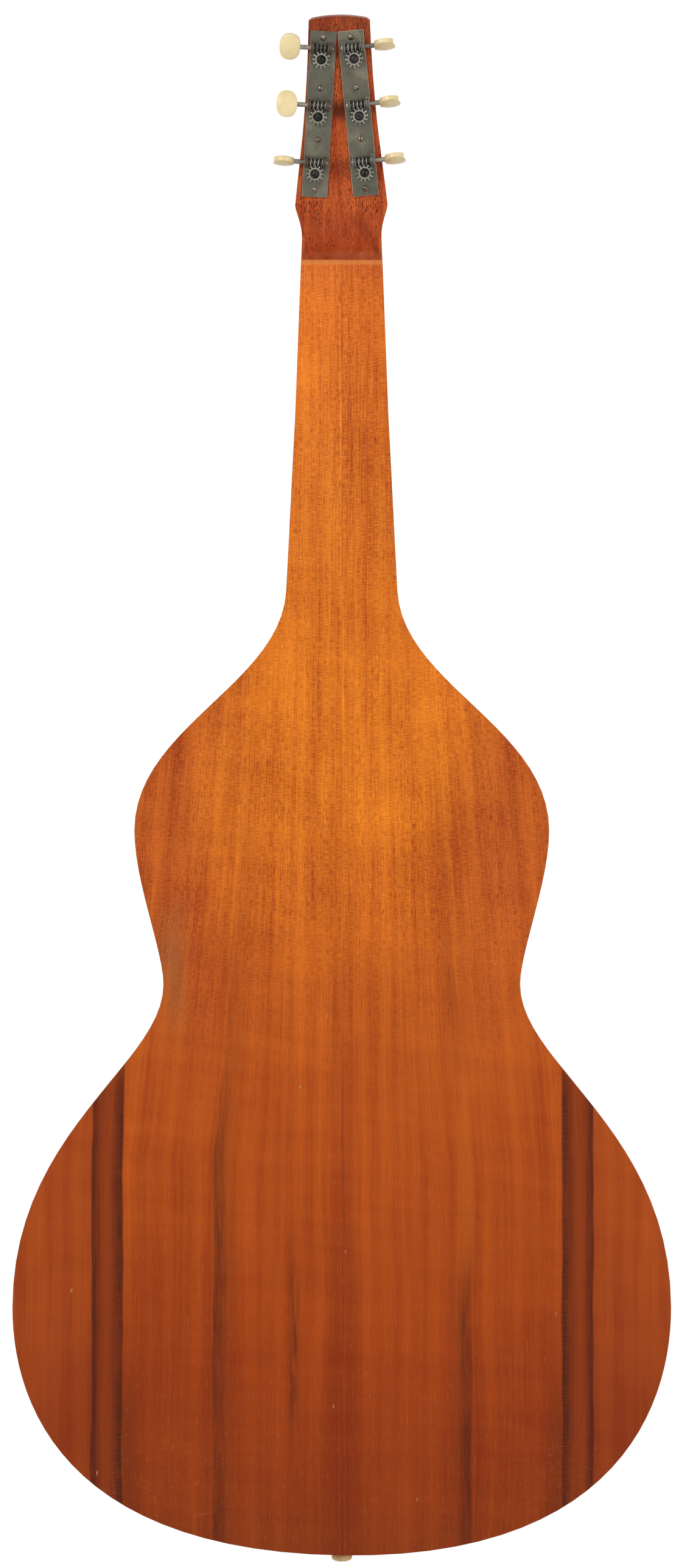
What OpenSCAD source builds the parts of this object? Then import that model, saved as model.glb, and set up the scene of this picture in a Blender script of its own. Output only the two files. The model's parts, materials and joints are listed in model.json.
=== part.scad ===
// Hollow-neck Hawaiian lap guitar with two three-on-a-plate tuners.
// It hangs head up: +Z runs up the neck, the soundboard faces +Y and the back faces -Y.
// The origin is on the nut line, at half the depth of the neck and half its width.

/* [Body outline] */
// Open string length, from the nut to the saddle
scale_len = 635; // [620:1:645]
// Distance from the nut down to the tail
tail_drop = 807.1; // [795:0.1:820]
// Width of the lower bout
lower_w = 401; // [385:0.1:415]
// Distance from the nut down to the widest line of the lower bout
lower_drop = 657; // [651:1:663]
// Width of the waist
waist_w = 217.8; // [208:0.1:228]
// Distance from the nut down to the waist
waist_drop = 461; // [455:1:467]
// Width of the upper bout
upper_w = 253.7; // [243:0.1:263]
// Distance from the nut down to the widest line of the upper bout
upper_drop = 367; // [362:1:372]
// Width where the neck runs into the body
join_w = 68.3; // [64:0.1:74]
// Distance from the nut down to where the neck runs into the body
join_drop = 220.7; // [214:0.1:226]
// Width of the neck at the nut
nut_w = 49.2; // [47:0.1:52]

/* [Body depth and walls] */
// Depth of the body at the tail
tail_depth = 77; // [70:0.5:84]
// Depth of the neck at the nut line
neck_depth = 38.5; // [36:0.5:42]
// Thickness of the soundboard
top_t = 2.8; // [2.4:0.1:3.4]
// Thickness of the back
back_t = 2.5; // [2:0.1:3.2]
// Thickness of the sides
rib_t = 2; // [1.6:0.1:2.6]
// Distance from the nut line down to the end of the back
back_end = 16; // [13:0.5:20]
// Diameter of the soundhole
hole_d = 96; // [88:1:104]
// Distance from the end of the fretboard to the edge of the soundhole
hole_gap = 5; // [3:0.5:8]

/* [Inner parts] */
// Width of the linings, inwards from the sides
lining_w = 5.5; // [4:0.5:8]
// Height of the linings
lining_h = 9; // [6:0.5:12]
// Width of every brace
brace_w = 7; // [5:0.5:9]
// Height of the soundboard braces
top_brace_h = 11; // [8:0.5:13]
// Height of the back braces
back_brace_h = 10; // [7:0.5:12]
// Thickness of the tail block
tail_block_t = 20; // [16:1:26]
// Width of the tail block
tail_block_w = 70; // [56:1:84]
// Length of the heel block below the nut line
heel_block_l = 55; // [45:1:65]
// Thickness of the bridge plate
plate_wood_t = 2.2; // [1.8:0.1:3]

/* [Fretboard and bridge] */
// Thickness of the fretboard
board_t = 3; // [2.5:0.1:4]
// Width of the fretboard at its lower end
board_end_w = 60; // [56:1:64]
// Number of fret lines
frets = 19; // [17:1:20]
// Width of a fret line
fret_w = 0.9; // [0.7:0.1:1.3]
// Thickness of the nut
nut_t = 6; // [5:0.5:8]
// Height of the strings above the soundboard
string_h = 12.5; // [11:0.5:14]
// Distance between the outer strings at the nut
nut_spread = 42; // [40:0.5:43]
// Distance between the outer strings at the saddle
bridge_spread = 54; // [50:0.5:58]
// Width of the bridge from wing tip to wing tip
bridge_w = 158; // [146:1:168]
// Length of the bridge along the strings
bridge_l = 34; // [30:1:38]
// Height of the middle of the bridge
bridge_h = 9; // [8:0.5:10]
// Diameter of a bridge pin
pin_d = 5.2; // [4.8:0.1:5.6]

/* [Headstock] */
// Length of the headstock above the nut line
head_l = 139.4; // [134:0.1:144]
// Width of the headstock at its top
head_top_w = 37.6; // [36:0.1:40]
// Width of the headstock at its flare
flare_w = 57.2; // [55:0.1:60]
// Height of the flare above the nut line
flare_rise = 23.5; // [21:0.5:26]
// Thickness of the headstock
head_t = 15.5; // [14:0.5:17]
// Backward tilt of the headstock, in degrees
head_tilt = 12.5; // [11:0.5:14]
// Sideways lean of the headstock, in degrees
head_lean = 0.65; // [0:0.05:1]

/* [Tuners] */
// Length of a tuner plate
plate_l = 101.6; // [100:0.1:104]
// Width of a tuner plate
plate_w = 15.9; // [15.5:0.1:16.5]
// Thickness of a tuner plate
plate_t = 1.4; // [1.2:0.1:1.6]
// Distance between neighbouring tuners on a plate
tuner_step = 35; // [34:0.1:35.5]
// Distance from a plate's top end to its first worm
worm_inset = 10.1; // [9.5:0.1:11]
// Axial pitch of the worm thread
worm_pitch = 2.35; // [2.3:0.01:2.4]
// Outer diameter of the worm
worm_d = 6; // [5.9:0.05:6.1]
// Length of the worm between its ears
worm_l = 9.9; // [9:0.1:10.5]
// Diameter of the worm's shaft
shaft_d = 2.9; // [2.7:0.05:2.9]
// Length of the shaft between its outer ear and the button
shaft_out = 6.5; // [5:0.1:8]
// Number of gear teeth
gear_teeth = 12; // [12]
// Thickness of a gear
gear_t = 1.8; // [1.5:0.1:2]
// Thickness of an ear
ear_t = 1.8; // [1.5:0.1:2]
// Width of an ear
ear_w = 6.9; // [6.4:0.1:7.4]
// Diameter of a string post
post_d = 6; // [5.8:0.1:6.4]
// Length of a post in front of the headstock
post_out = 13; // [12:0.5:15]
// Length of a button along its shaft
button_l = 12.8; // [12:0.1:14]
// Width of a button across its shaft
button_w = 16.3; // [15:0.1:18]
// Thickness of a button
button_t = 6; // [5.5:0.1:7]
// Diameter of the end pin's head
end_pin_d = 12.9; // [12:0.1:14]
// Length of the end pin below the tail
end_pin_l = 9.5; // [8:0.5:12]
// Radial clearance of every shaft and post in its bearing
run_gap = 0.05; // [0.03:0.01:0.08]

/* [Hidden] */
far = 900;                                     // larger than the whole guitar
top_y = neck_depth / 2;                       // outer face of the soundboard
inner_y = top_y - top_t;                      // inner face of the soundboard
tail_z = -tail_drop;
saddle_z = -scale_len;
board_tail = 4;                               // fretboard below its last fret
board_drop = scale_len * (1 - pow(2, -frets / 12)) + board_tail;
hole_drop = board_drop + hole_gap + hole_d / 2;
hole_z = -hole_drop;
strings = 6;
string_d = [1.42, 1.07, 0.81, 0.6, 0.43, 0.38];   // from bass to treble
turns = 3;                                    // turns of string on each post
turn_gap = 0.5;                               // gap between neighbouring turns
worm_r = worm_d / 2;
shaft_r = shaft_d / 2;
post_r = post_d / 2;
pin_r = pin_d / 2;
worm_root_r = shaft_r + 0.15;
gear_pitch_r = worm_pitch * gear_teeth / (2 * PI);
mesh_depth = 2.51;                            // worm axis to the gear's pitch circle
gear_drop = gear_pitch_r + mesh_depth;        // worm axis to gear axis
gear_tip_r = gear_pitch_r + 0.84;
gear_root_r = gear_pitch_r - 0.89;
worm_h = 3.25;                                // worm axis above the back of its plate
ear_inset = 0.7;                              // outer ear in from the plate's outer edge
ear_out = plate_w / 2 - ear_inset;            // outer face of the outer ear
worm_mid = ear_out - ear_t - worm_l / 2;      // middle of the worm, across the plate
end_gap = 0.1;                                // play at each end of a worm or a post's shoulder
gear_low = worm_h - gear_t / 2;               // underside of a gear above the plate
// Each plate: side, middle of the plate on the headstock and its lean from the headstock's axis
plate_side = [-1, 1];
plate_x = [-13.1, 11.05];
plate_z = [79.7, 80];
plate_lean = [3.9, 4.8];
// Rest angle of each button about its shaft, first the -X plate from the top, then the +X plate
button_turn = [12, -12, 75, 68, 68, 68];
// Rest angle of each gear's screw slot, in the same order
slot_turn = [62, 70, -58, 35, -40, 80];

// ---- small helpers ----

function bezier(a, b, c, d, t) =
    a * pow(1 - t, 3) + 3 * b * t * pow(1 - t, 2) + 3 * c * t * t * (1 - t) + d * pow(t, 3);
function bezier_slope(a, b, c, d, t) =
    (b - a) * pow(1 - t, 2) + 2 * (c - b) * t * (1 - t) + (d - c) * t * t;
function unit(v) = v / norm(v);
function reversed(v) = [for (i = [len(v) - 1:-1:0]) v[i]];
function mirrored(v) = [for (p = reversed(v)) [-p[0], p[1]]];
function turned(p, a) = [p[0] * cos(a) - p[1] * sin(a), p[0] * sin(a) + p[1] * cos(a)];

// A plan outline in X and Z, as thick as from y0 to y1
module plan_prism(points, y0, y1)
    translate([0, y1, 0]) rotate([90, 0, 0]) linear_extrude(y1 - y0) polygon(points);

// A side outline in Y and Z, as wide as w about the centre plane
module side_prism(points, w)
    rotate([90, 0, 90]) linear_extrude(w, center = true) polygon(points);

// ---- the body's outline ----

tail_flat = 170;      // reach of the tail's flat stretch
tail_lean = 0.015;    // how far the tail drops to the bass side
lower_reach = 57;     // reach of the lower bout's upright stretch below its widest line
lower_rise = 108;     // and above it
waist_fall = 49;      // reach of the waist below and above its narrowest line
waist_rise = 20;
upper_fall = 31;      // reach of the upper bout below and above its widest line
upper_rise = 63;
join_reach = 57;      // reach of the neck's line into the upper bout
neck_reach = 75;
join_flare = 0.06;    // how fast the half width grows at the join and at the nut
nut_flare = 0.025;
outline_over = 6;     // the outline runs on past the nut line, and its users trim it

tail_at = [0, tail_z];
lower_at = [lower_w / 2, -lower_drop];
waist_at = [waist_w / 2, -waist_drop];
upper_at = [upper_w / 2, -upper_drop];
join_at = [join_w / 2, -join_drop];
nut_at = [nut_w / 2, 0];

// Each curve of the bass half, 1, or the treble half, -1: its end points, handles and steps
function outline_curves(half) = [
    [tail_at, tail_at + tail_flat * [1, -half * tail_lean], lower_at - [0, lower_reach], lower_at, 26],
    [lower_at, lower_at + [0, lower_rise], waist_at - [0, waist_fall], waist_at, 22],
    [waist_at, waist_at + [0, waist_rise], upper_at - [0, upper_fall], upper_at, 12],
    [upper_at, upper_at + [0, upper_rise], join_at - join_reach * [-join_flare, 1], join_at, 22],
    [join_at, join_at + neck_reach * [-join_flare, 1], nut_at - neck_reach * [-nut_flare, 1],
     nut_at, 10]];

// The outline's points from tail to nut, drawn in from the edge
function drawn_in(c, t, inset) =
    let (slope = unit(bezier_slope(c[0], c[1], c[2], c[3], t)))
    bezier(c[0], c[1], c[2], c[3], t) + inset * [-slope[1], slope[0]];
function half_outline(inset, half) = concat(
    [for (c = outline_curves(half), i = [0:c[4] - 1]) drawn_in(c, i / c[4], inset)],
    [let (c = outline_curves(half)[4]) drawn_in(c, 1, inset),
     let (c = outline_curves(half)[4]) drawn_in(c, 1, inset) + outline_over * [-nut_flare, 1]]);
function whole_outline(inset) =
    let (bass = half_outline(inset, 1), treble = half_outline(inset, -1))
    concat(bass, mirrored([for (i = [1:len(treble) - 1]) treble[i]]));
function closed_half(half) =
    let (edge = half_outline(0, half)) concat(edge, [[0, edge[len(edge) - 1][1]]]);
function half_ring(inset, width, half) =
    concat(half_outline(inset, half), reversed(half_outline(inset + width, half)));
// Stands what is made for one half on its own side
module on_half(half) mirror([half < 0 ? 1 : 0, 0, 0]) children();

// The back's outer face at a height
function back_y(z) = -neck_depth / 2 + (tail_depth - neck_depth) * z / tail_drop;
// A slab that follows the back, from one depth inside it to another
function back_slab(d0, d1, z0, z1) =
    [[back_y(z0) + d0, z0], [back_y(z1) + d0, z1], [back_y(z1) + d1, z1], [back_y(z0) + d1, z0]];
// The room between the back and the soundboard
function inner_room(z0, z1) =
    [[back_y(z0) + back_t, z0], [back_y(z1) + back_t, z1], [inner_y, z1], [inner_y, z0]];

// ---- back, sides and soundboard ----

back_bevel = 1.1;     // bevel of the back's upper end

module back_half(half) on_half(half) intersection() {
    plan_prism(closed_half(half), -far, far);
    difference() {
        side_prism(back_slab(0, back_t, tail_z - 1, -back_end), far);
        translate([0, back_y(-back_end), -back_end]) rotate([45, 0, 0])
            cube([far, back_bevel * sqrt(2), back_bevel * sqrt(2)], center = true);
    }
}
module back_bass() color([0.62, 0.29, 0.09]) back_half(1);
module back_treble() color([0.62, 0.29, 0.09]) back_half(-1);

// The heel's hollow slope, from the end of the back up to the back of the headstock
heel_top = 11;
heel_reach = 12;
heel_foot = [back_y(-back_end) + back_t, -back_end];
heel_head = [top_y - head_t / cos(head_tilt) - heel_top * tan(head_tilt), heel_top];
heel_curve = [for (i = [0:12])
    bezier(heel_head, heel_head + heel_reach * [sin(head_tilt), -cos(head_tilt)],
           heel_foot + heel_reach * [0.94, 0.34], heel_foot, i / 12)];
module heel_scoop() side_prism(
    concat([[-far, heel_top]], heel_curve, [[-far, -back_end]]), far);

module side_half(half) on_half(half) difference() {
    intersection() {
        plan_prism(half_ring(0, rib_t, half), -far, far);
        side_prism(inner_room(tail_z - 1, 0), far);
    }
    heel_scoop();
    translate([0, end_pin_y, tail_z - 1]) cylinder(h = rib_t + 2, r = end_pin_shank_r, $fn = 48);
}
module side_bass() color([0.5, 0.22, 0.08]) side_half(1);
module side_treble() color([0.5, 0.22, 0.08]) side_half(-1);

rosette_r = hole_d / 2 + 4;
rosette_w = 5;
rosette_t = 0.8;
module rosette_ring(extra) translate([0, top_y + extra, hole_z]) rotate([90, 0, 0])
    difference() {
        cylinder(h = rosette_t + extra, r = rosette_r + rosette_w, $fn = 120);
        translate([0, 0, -1]) cylinder(h = rosette_t + extra + 2, r = rosette_r, $fn = 120);
    }
module soundboard_half(half) on_half(half) difference() {
    intersection() {
        plan_prism(closed_half(half), inner_y, top_y);
        side_prism([[-far, tail_z - 1], [far, tail_z - 1], [far, 0], [-far, 0]], far);
    }
    translate([0, top_y + 1, hole_z]) rotate([90, 0, 0]) cylinder(h = top_t + 2, d = hole_d, $fn = 120);
    rosette_ring(1);
    pin_holes();
}
module soundboard_bass() color([0.72, 0.4, 0.14]) soundboard_half(1);
module soundboard_treble() color([0.72, 0.4, 0.14]) soundboard_half(-1);
module rosette() color([0.85, 0.72, 0.45]) rosette_ring(0);

// ---- inner parts ----

lining_in = rib_t + lining_w;                 // from the body's edge to the linings' inner face
block_z = tail_z + rib_t + tail_block_t;      // upper face of the tail block

module both_linings(room) difference() {
    intersection() {
        for (half = [1, -1])
            on_half(half) plan_prism(half_ring(rib_t, lining_w, half), -far, far);
        side_prism(room, far);
    }
    tail_block_shape();
}
module front_linings() color([0.8, 0.62, 0.38]) both_linings(
    [[inner_y - lining_h, tail_z], [inner_y, tail_z], [inner_y, -heel_block_l],
     [inner_y - lining_h, -heel_block_l]]);
module back_linings() color([0.8, 0.62, 0.38]) both_linings(
    back_slab(back_t, back_t + lining_h, tail_z, -heel_block_l));

module tail_block_shape() intersection() {
    plan_prism(whole_outline(rib_t), -far, far);
    side_prism(inner_room(tail_z - 1, block_z), tail_block_w);
}
module tail_block() color([0.6, 0.36, 0.2]) difference() {
    tail_block_shape();
    translate([0, end_pin_y, tail_z - 1])
        cylinder(h = end_pin_shank_l + 1, r = end_pin_shank_r, $fn = 48);
}

// Bars that are cut off at the linings
module inside_linings() intersection() {
    plan_prism(whole_outline(lining_in), -far, far);
    children();
}
x_brace_drop = scale_len - 71;                // where the two legs of the X cross, above the bridge
x_brace_l = 250;                              // reach of each leg from there
x_brace_stop = 12;                            // the legs' upper ends below the upper bout's widest line
x_brace_turn = 42;                            // half the angle between them
module soundboard_braces() color([0.86, 0.72, 0.5]) inside_linings() intersection() {
    for (turn = [-x_brace_turn, x_brace_turn])
        translate([0, inner_y - top_brace_h / 2, -x_brace_drop]) rotate([0, turn, 0])
            cube([brace_w, top_brace_h, 2 * x_brace_l], center = true);
    side_prism([[-far, block_z], [inner_y, block_z], [inner_y, -upper_drop - x_brace_stop],
                [-far, -upper_drop - x_brace_stop]], far);
}
hole_brace_gap = 22;                          // cross brace above the soundhole's edge
join_brace_fall = 60;                         // cross braces below and above the neck's join
join_brace_rise = 30;
cross_brace_drops = [hole_drop - hole_d / 2 - hole_brace_gap, join_drop + join_brace_fall,
    join_drop - join_brace_rise];
module cross_braces() color([0.86, 0.72, 0.5]) inside_linings()
    for (drop = cross_brace_drops)
        translate([0, inner_y - top_brace_h / 2, -drop])
            cube([far, top_brace_h, brace_w], center = true);

back_brace_drops = [300, 420, 560, 700];
// The back braces' bars, which may run on below the back's inner face to cut what they cross
module back_bars(under) for (drop = back_brace_drops)
    side_prism(back_slab(back_t - under, back_t + back_brace_h, -drop - brace_w / 2,
                         -drop + brace_w / 2), far);
module back_braces() color([0.86, 0.72, 0.5]) inside_linings() back_bars(0);

seam_w = 16;
seam_t = 2;
module seam_strip() color([0.75, 0.58, 0.36]) difference() {
    side_prism(back_slab(back_t, back_t + seam_t, block_z, -heel_block_l), seam_w);
    back_bars(1);
}

// ---- bridge ----

bridge_z = saddle_z - 8;                      // middle of the bridge
pin_drop = 17;                                // bridge pins below the saddle
wing_t = 3.4;
bridge_mid_w = bridge_spread + 26;
saddle_t = 3;
saddle_seat = 5;                              // depth of the saddle in the bridge
pin_head_h = 4;
pin_head_r = pin_r + 1.4;
pin_collar_h = 1.2;                           // straight part of a bridge pin's head
bridge_plate_w = 78;
bridge_plate_l = 32;
function string_x(i, spread) = spread * (0.5 - i / (strings - 1));

module pin_holes() for (i = [0:strings - 1])
    translate([string_x(i, bridge_spread), 0, saddle_z - pin_drop]) rotate([-90, 0, 0])
        cylinder(h = top_y + bridge_h + 2, r = pin_r, $fn = 48);
bridge_plan = let (half = [
        for (t = [0:0.125:1]) bezier([0, bridge_l / 2], [bridge_mid_w * 0.32, bridge_l / 2],
            [bridge_mid_w * 0.5, bridge_l * 0.28], [bridge_mid_w * 0.62, bridge_l * 0.3], t),
        for (t = [0:0.25:1]) bezier([bridge_w / 2 - 5, bridge_l * 0.36], [bridge_w / 2, bridge_l * 0.3],
            [bridge_w / 2, -bridge_l * 0.3], [bridge_w / 2 - 5, -bridge_l * 0.36], t),
        for (t = [0:0.125:1]) bezier([bridge_mid_w * 0.62, -bridge_l * 0.3],
            [bridge_mid_w * 0.5, -bridge_l * 0.28], [bridge_mid_w * 0.32, -bridge_l / 2],
            [0, -bridge_l / 2], t)])
    concat(half, mirrored([for (i = [1:len(half) - 2]) half[i]]));
bridge_side = let (half = [
        [0, 0], [bridge_w / 2 + 1, 0], [bridge_w / 2 + 1, wing_t], [bridge_mid_w * 0.66, wing_t],
        for (t = [0.25:0.25:1]) bezier([bridge_mid_w * 0.66, wing_t], [bridge_mid_w * 0.58, wing_t],
            [bridge_mid_w * 0.56, bridge_h], [bridge_mid_w * 0.5, bridge_h], t)])
    concat(half, mirrored([for (i = [1:len(half) - 1]) half[i]]));
module bridge() color([0.25, 0.14, 0.08]) difference() {
    translate([0, 0, bridge_z]) intersection() {
        plan_prism(bridge_plan, top_y, top_y + bridge_h);
        translate([0, top_y, 0]) linear_extrude(bridge_l + 2, center = true) polygon(bridge_side);
    }
    pin_holes();
    saddle_block(0, 1);
}
// The saddle's block; it may stand back from its seat's ends and run on past its top
module saddle_block(top, over) translate([0, top_y + bridge_h - saddle_seat, saddle_z])
    translate([0, (saddle_seat + over + top) / 2, 0])
        cube([bridge_spread + 12, saddle_seat + over + top, saddle_t], center = true);
module saddle() color([0.93, 0.9, 0.8]) difference() {
    saddle_block(string_h - bridge_h + 0.6, 0);
    string_grooves(saddle_z, bridge_spread);
}
// A groove for each string, across a nut or a saddle
module string_grooves(z, spread) for (i = [0:strings - 1])
    translate([string_x(i, spread), top_y + string_h, z]) {
        cylinder(h = 30, d = string_d[i] + 0.1, center = true, $fn = 24);
        translate([0, 2, 0]) cube([string_d[i] + 0.1, 4, 30], center = true);
    }
pin_low = inner_y - plate_wood_t - 6;         // lower end of the bridge pins
pin_slot_gap = 0.3;                           // how much wider a pin's slot is than its string
module bridge_pins() color([0.92, 0.84, 0.62]) for (i = [0:strings - 1])
    translate([string_x(i, bridge_spread), pin_low, saddle_z - pin_drop]) rotate([-90, 0, 0])
        difference() {
            union() {
                cylinder(h = top_y + bridge_h - pin_low, r = pin_r, $fn = 48);
                translate([0, 0, top_y + bridge_h - pin_low]) bridge_pin_head();
            }
            translate([0, string_d[i] + pin_slot_gap - pin_r - pin_d / 2, 0])
                cube([string_d[i] + pin_slot_gap, pin_d, far], center = true);
        }
module bridge_pin_head() rotate_extrude($fn = 48) intersection() {
    union() {
        square([pin_head_r, pin_collar_h]);
        translate([0, pin_collar_h]) circle(r = pin_head_h - pin_collar_h, $fn = 40);
    }
    square([pin_head_r, pin_head_h]);
}
module bridge_plate() color([0.83, 0.66, 0.42]) difference() {
    translate([-bridge_plate_w / 2, inner_y - plate_wood_t, saddle_z - pin_drop - bridge_plate_l / 2])
        cube([bridge_plate_w, plate_wood_t, bridge_plate_l]);
    pin_holes();
}

// ---- fretboard and nut ----

board_inset = 0.3;                            // how far the fretboard's edge stands in from the nut's end
function board_half_w(drop) =
    nut_w / 2 - board_inset + (board_end_w / 2 - nut_w / 2 + board_inset) * drop / board_drop;
function fret_drop(n) = scale_len * (1 - pow(2, -n / 12));
fret_depth = 1.2;
module fret_cuts(extra) for (n = [1:frets])
    translate([0, top_y + board_t + (extra - fret_depth) / 2, -fret_drop(n)])
        cube([2 * board_half_w(fret_drop(n)) - 2, fret_depth + extra, fret_w], center = true);
module fret_lines() color([0.85, 0.75, 0.5]) fret_cuts(0);
// Dots: how many half spaces from the nut, and their distance from the centre line
dot_r = 3;
dot_t = 1;
pair_x = 11;
dots = [[5, 0], [7, 0], [9, 0], [12, pair_x], [12, -pair_x], [15, 0], [17, 0]];
module dot_discs(extra) for (d = dots)
    translate([d[1], top_y + board_t + extra, -(fret_drop(d[0]) + fret_drop(d[0] - 1)) / 2])
        rotate([90, 0, 0]) cylinder(h = dot_t + extra, r = dot_r, $fn = 32);
module position_dots() color([0.9, 0.9, 0.86]) dot_discs(0);
module fretboard() color([0.2, 0.12, 0.08]) difference() {
    plan_prism([[-board_half_w(0), 0], [board_half_w(0), 0],
                [board_half_w(board_drop), -board_drop], [-board_half_w(board_drop), -board_drop]],
               top_y, top_y + board_t);
    fret_cuts(1);
    dot_discs(1);
}

nut_seat = 1.2;                               // depth of the nut in the headstock's face
module nut_block(over) translate([0, top_y - nut_seat, nut_t / 2])
    translate([0, (nut_seat + string_h + over) / 2, 0])
        cube([nut_w - 0.4, nut_seat + string_h + over, nut_t], center = true);
module nut() color([0.93, 0.9, 0.8]) difference() {
    nut_block(0.6);
    string_grooves(nut_t / 2, nut_spread);
}

// ---- headstock ----

// The headstock's own frame: Z up its face, +Y out of its face, origin on the face at the nut line
module on_head() translate([0, top_y, 0]) rotate([head_tilt, 0, 0]) rotate([0, -head_lean, 0])
    children();
function from_head(p) =
    let (x = p[0] * cos(head_lean) - p[2] * sin(head_lean),
         z = p[0] * sin(head_lean) + p[2] * cos(head_lean))
    [x, top_y + p[1] * cos(head_tilt) - z * sin(head_tilt),
     p[1] * sin(head_tilt) + z * cos(head_tilt)];
// The same frame moved to a place on a plate: +X away from the headstock's centre line
module on_plate(k) on_head() translate([plate_x[k], 0, plate_z[k]])
    rotate([0, -plate_side[k] * plate_lean[k], 0]) mirror([plate_side[k] < 0 ? 1 : 0, 0, 0]) children();
function from_plate(k, p) =
    let (a = plate_side[k] * plate_lean[k], x = plate_side[k] * p[0])
    from_head([plate_x[k] + x * cos(a) - p[2] * sin(a), p[1],
               plate_z[k] + x * sin(a) + p[2] * cos(a)]);
function worm_up(j) = plate_l / 2 - worm_inset - j * tuner_step;
function gear_up(j) = worm_up(j) - gear_drop;

crest_rise = 2;                               // rise of the headstock's crest
crest_steps = 12;
head_corner = head_l - crest_rise;
head_outline = let (half = concat(
        [[nut_w / 2, -head_t]],
        [for (t = [0:0.125:1]) bezier([nut_w / 2, flare_rise - 19.5], [nut_w / 2, flare_rise - 11],
            [flare_w / 2 - 0.6, flare_rise - 5], [flare_w / 2, flare_rise], t)],
        [for (t = [0.1:0.1:1]) bezier([flare_w / 2, flare_rise], [flare_w / 2 - 2.4, flare_rise + 24],
            [head_top_w / 2 + 2, head_corner - 62], [head_top_w / 2, head_corner - 1], t)],
        [for (i = [1:crest_steps]) let (u = 1 - i / crest_steps)
            [(head_top_w / 2 - 0.5) * u, head_l - crest_rise * u * u]]))
    concat(half, mirrored([for (i = [0:len(half) - 2]) half[i]]));

module headstock() color([0.42, 0.17, 0.08]) difference() {
    union() {
        intersection() {
            on_head() plan_prism(head_outline, -head_t, 0);
            translate([-far / 2, -far / 2, 0]) cube(far);
        }
        intersection() {
            plan_prism(whole_outline(rib_t), -far, far);
            side_prism(inner_room(-heel_block_l, 0), far);
        }
        side_prism([[back_y(0), 0], [top_y - 2, 0], [top_y - heel_top * tan(head_tilt) - 2, heel_top],
                    [back_y(0), heel_top]], nut_w);
    }
    heel_scoop();
    nut_block(1);
    for (k = [0:1], j = [0:2]) on_plate(k) translate([worm_mid, 0, gear_up(j)]) rotate([90, 0, 0]) {
        translate([0, 0, -1]) cylinder(h = head_t + 2, r = post_r + 0.8, $fn = 48);
        translate([0, 0, -1]) cylinder(h = ferrule_l + 1, r = ferrule_r, $fn = 48);
    }
    for (k = [0:1], z = screw_ups) on_plate(k) translate([0, -head_t, z]) rotate([-90, 0, 0])
        translate([0, 0, -1]) cylinder(h = screw_l + 1, r = screw_r, $fn = 32);
}

// ---- tuners, in a plate's frame: +X outwards, Z up the plate ----

plate_y = -head_t;                            // the headstock's back, where the plate lies
plate_back = plate_y - plate_t;
worm_y = plate_back - worm_h;
screw_insets = [4, 34.8, 66.3, 97];           // screws from the plate's top end
screw_ups = [for (d = screw_insets) plate_l / 2 - d];
screw_r = 1.4;
screw_l = 10;
screw_head_r = 1.9;
screw_head_h = 1.3;

module ear(x, z) translate([x, 0, z]) {
    translate([0, worm_y, -ear_w / 2]) cube([ear_t, worm_h + plate_t / 2, ear_w]);
    translate([0, worm_y, 0]) rotate([0, 90, 0]) cylinder(h = ear_t, d = ear_w, $fn = 48);
}
module tuner_plate(k) on_plate(k) difference() {
    union() {
        translate([-plate_w / 2, plate_back, -plate_l / 2]) cube([plate_w, plate_t, plate_l]);
        for (j = [0:2]) {
            ear(ear_out - ear_t, worm_up(j));
            ear(ear_out - 2 * ear_t - worm_l, worm_up(j));
        }
    }
    for (j = [0:2]) {
        translate([-plate_w, worm_y, worm_up(j)]) rotate([0, 90, 0])
            cylinder(h = 2 * plate_w, r = shaft_r + run_gap, $fn = 48);
        translate([worm_mid, plate_y + 1, gear_up(j)]) rotate([90, 0, 0])
            cylinder(h = plate_t + 2, r = post_r + run_gap, $fn = 48);
    }
    for (z = screw_ups) translate([0, plate_y + 1, z]) rotate([90, 0, 0])
        cylinder(h = plate_t + 2, r = screw_r, $fn = 32);
}
module tuner_plate_treble() color([0.45, 0.44, 0.38]) tuner_plate(0);
module tuner_plate_bass() color([0.42, 0.42, 0.38]) tuner_plate(1);

// A domed slotted head of a screw, standing on its own +Z
module slotted_head(r, h, slot_w, slot_turn) difference() {
    intersection() {
        cylinder(h = h, r = r, $fn = 48);
        translate([0, 0, h - (r * r + h * h) / (2 * h)]) sphere(r = (r * r + h * h) / (2 * h), $fn = 64);
    }
    rotate([0, 0, slot_turn]) translate([0, 0, h]) cube([3 * r, slot_w, h], center = true);
}
module plate_screws() color([0.55, 0.4, 0.25]) for (k = [0:1], n = [0:3])
    on_plate(k) translate([0, plate_back, screw_ups[n]]) rotate([90, 0, 0]) {
        translate([0, 0, -plate_t - screw_l]) cylinder(h = plate_t + screw_l, r = screw_r, $fn = 32);
        slotted_head(screw_head_r, screw_head_h, 0.5, 37 * (3 * n + k));
    }

ferrule_r = 4.75;
ferrule_l = 6;
flange_r = 6;
flange_t = 1.2;
module post_ferrules() color([0.6, 0.6, 0.58]) for (k = [0:1], j = [0:2])
    on_plate(k) translate([worm_mid, 0, gear_up(j)]) rotate([-90, 0, 0]) difference() {
        union() {
            translate([0, 0, -ferrule_l]) cylinder(h = ferrule_l, r = ferrule_r, $fn = 48);
            cylinder(h = flange_t, r = flange_r, $fn = 48);
        }
        translate([0, 0, -ferrule_l - 1])
            cylinder(h = ferrule_l + flange_t + 2, r = post_r + run_gap, $fn = 48);
    }

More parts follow.
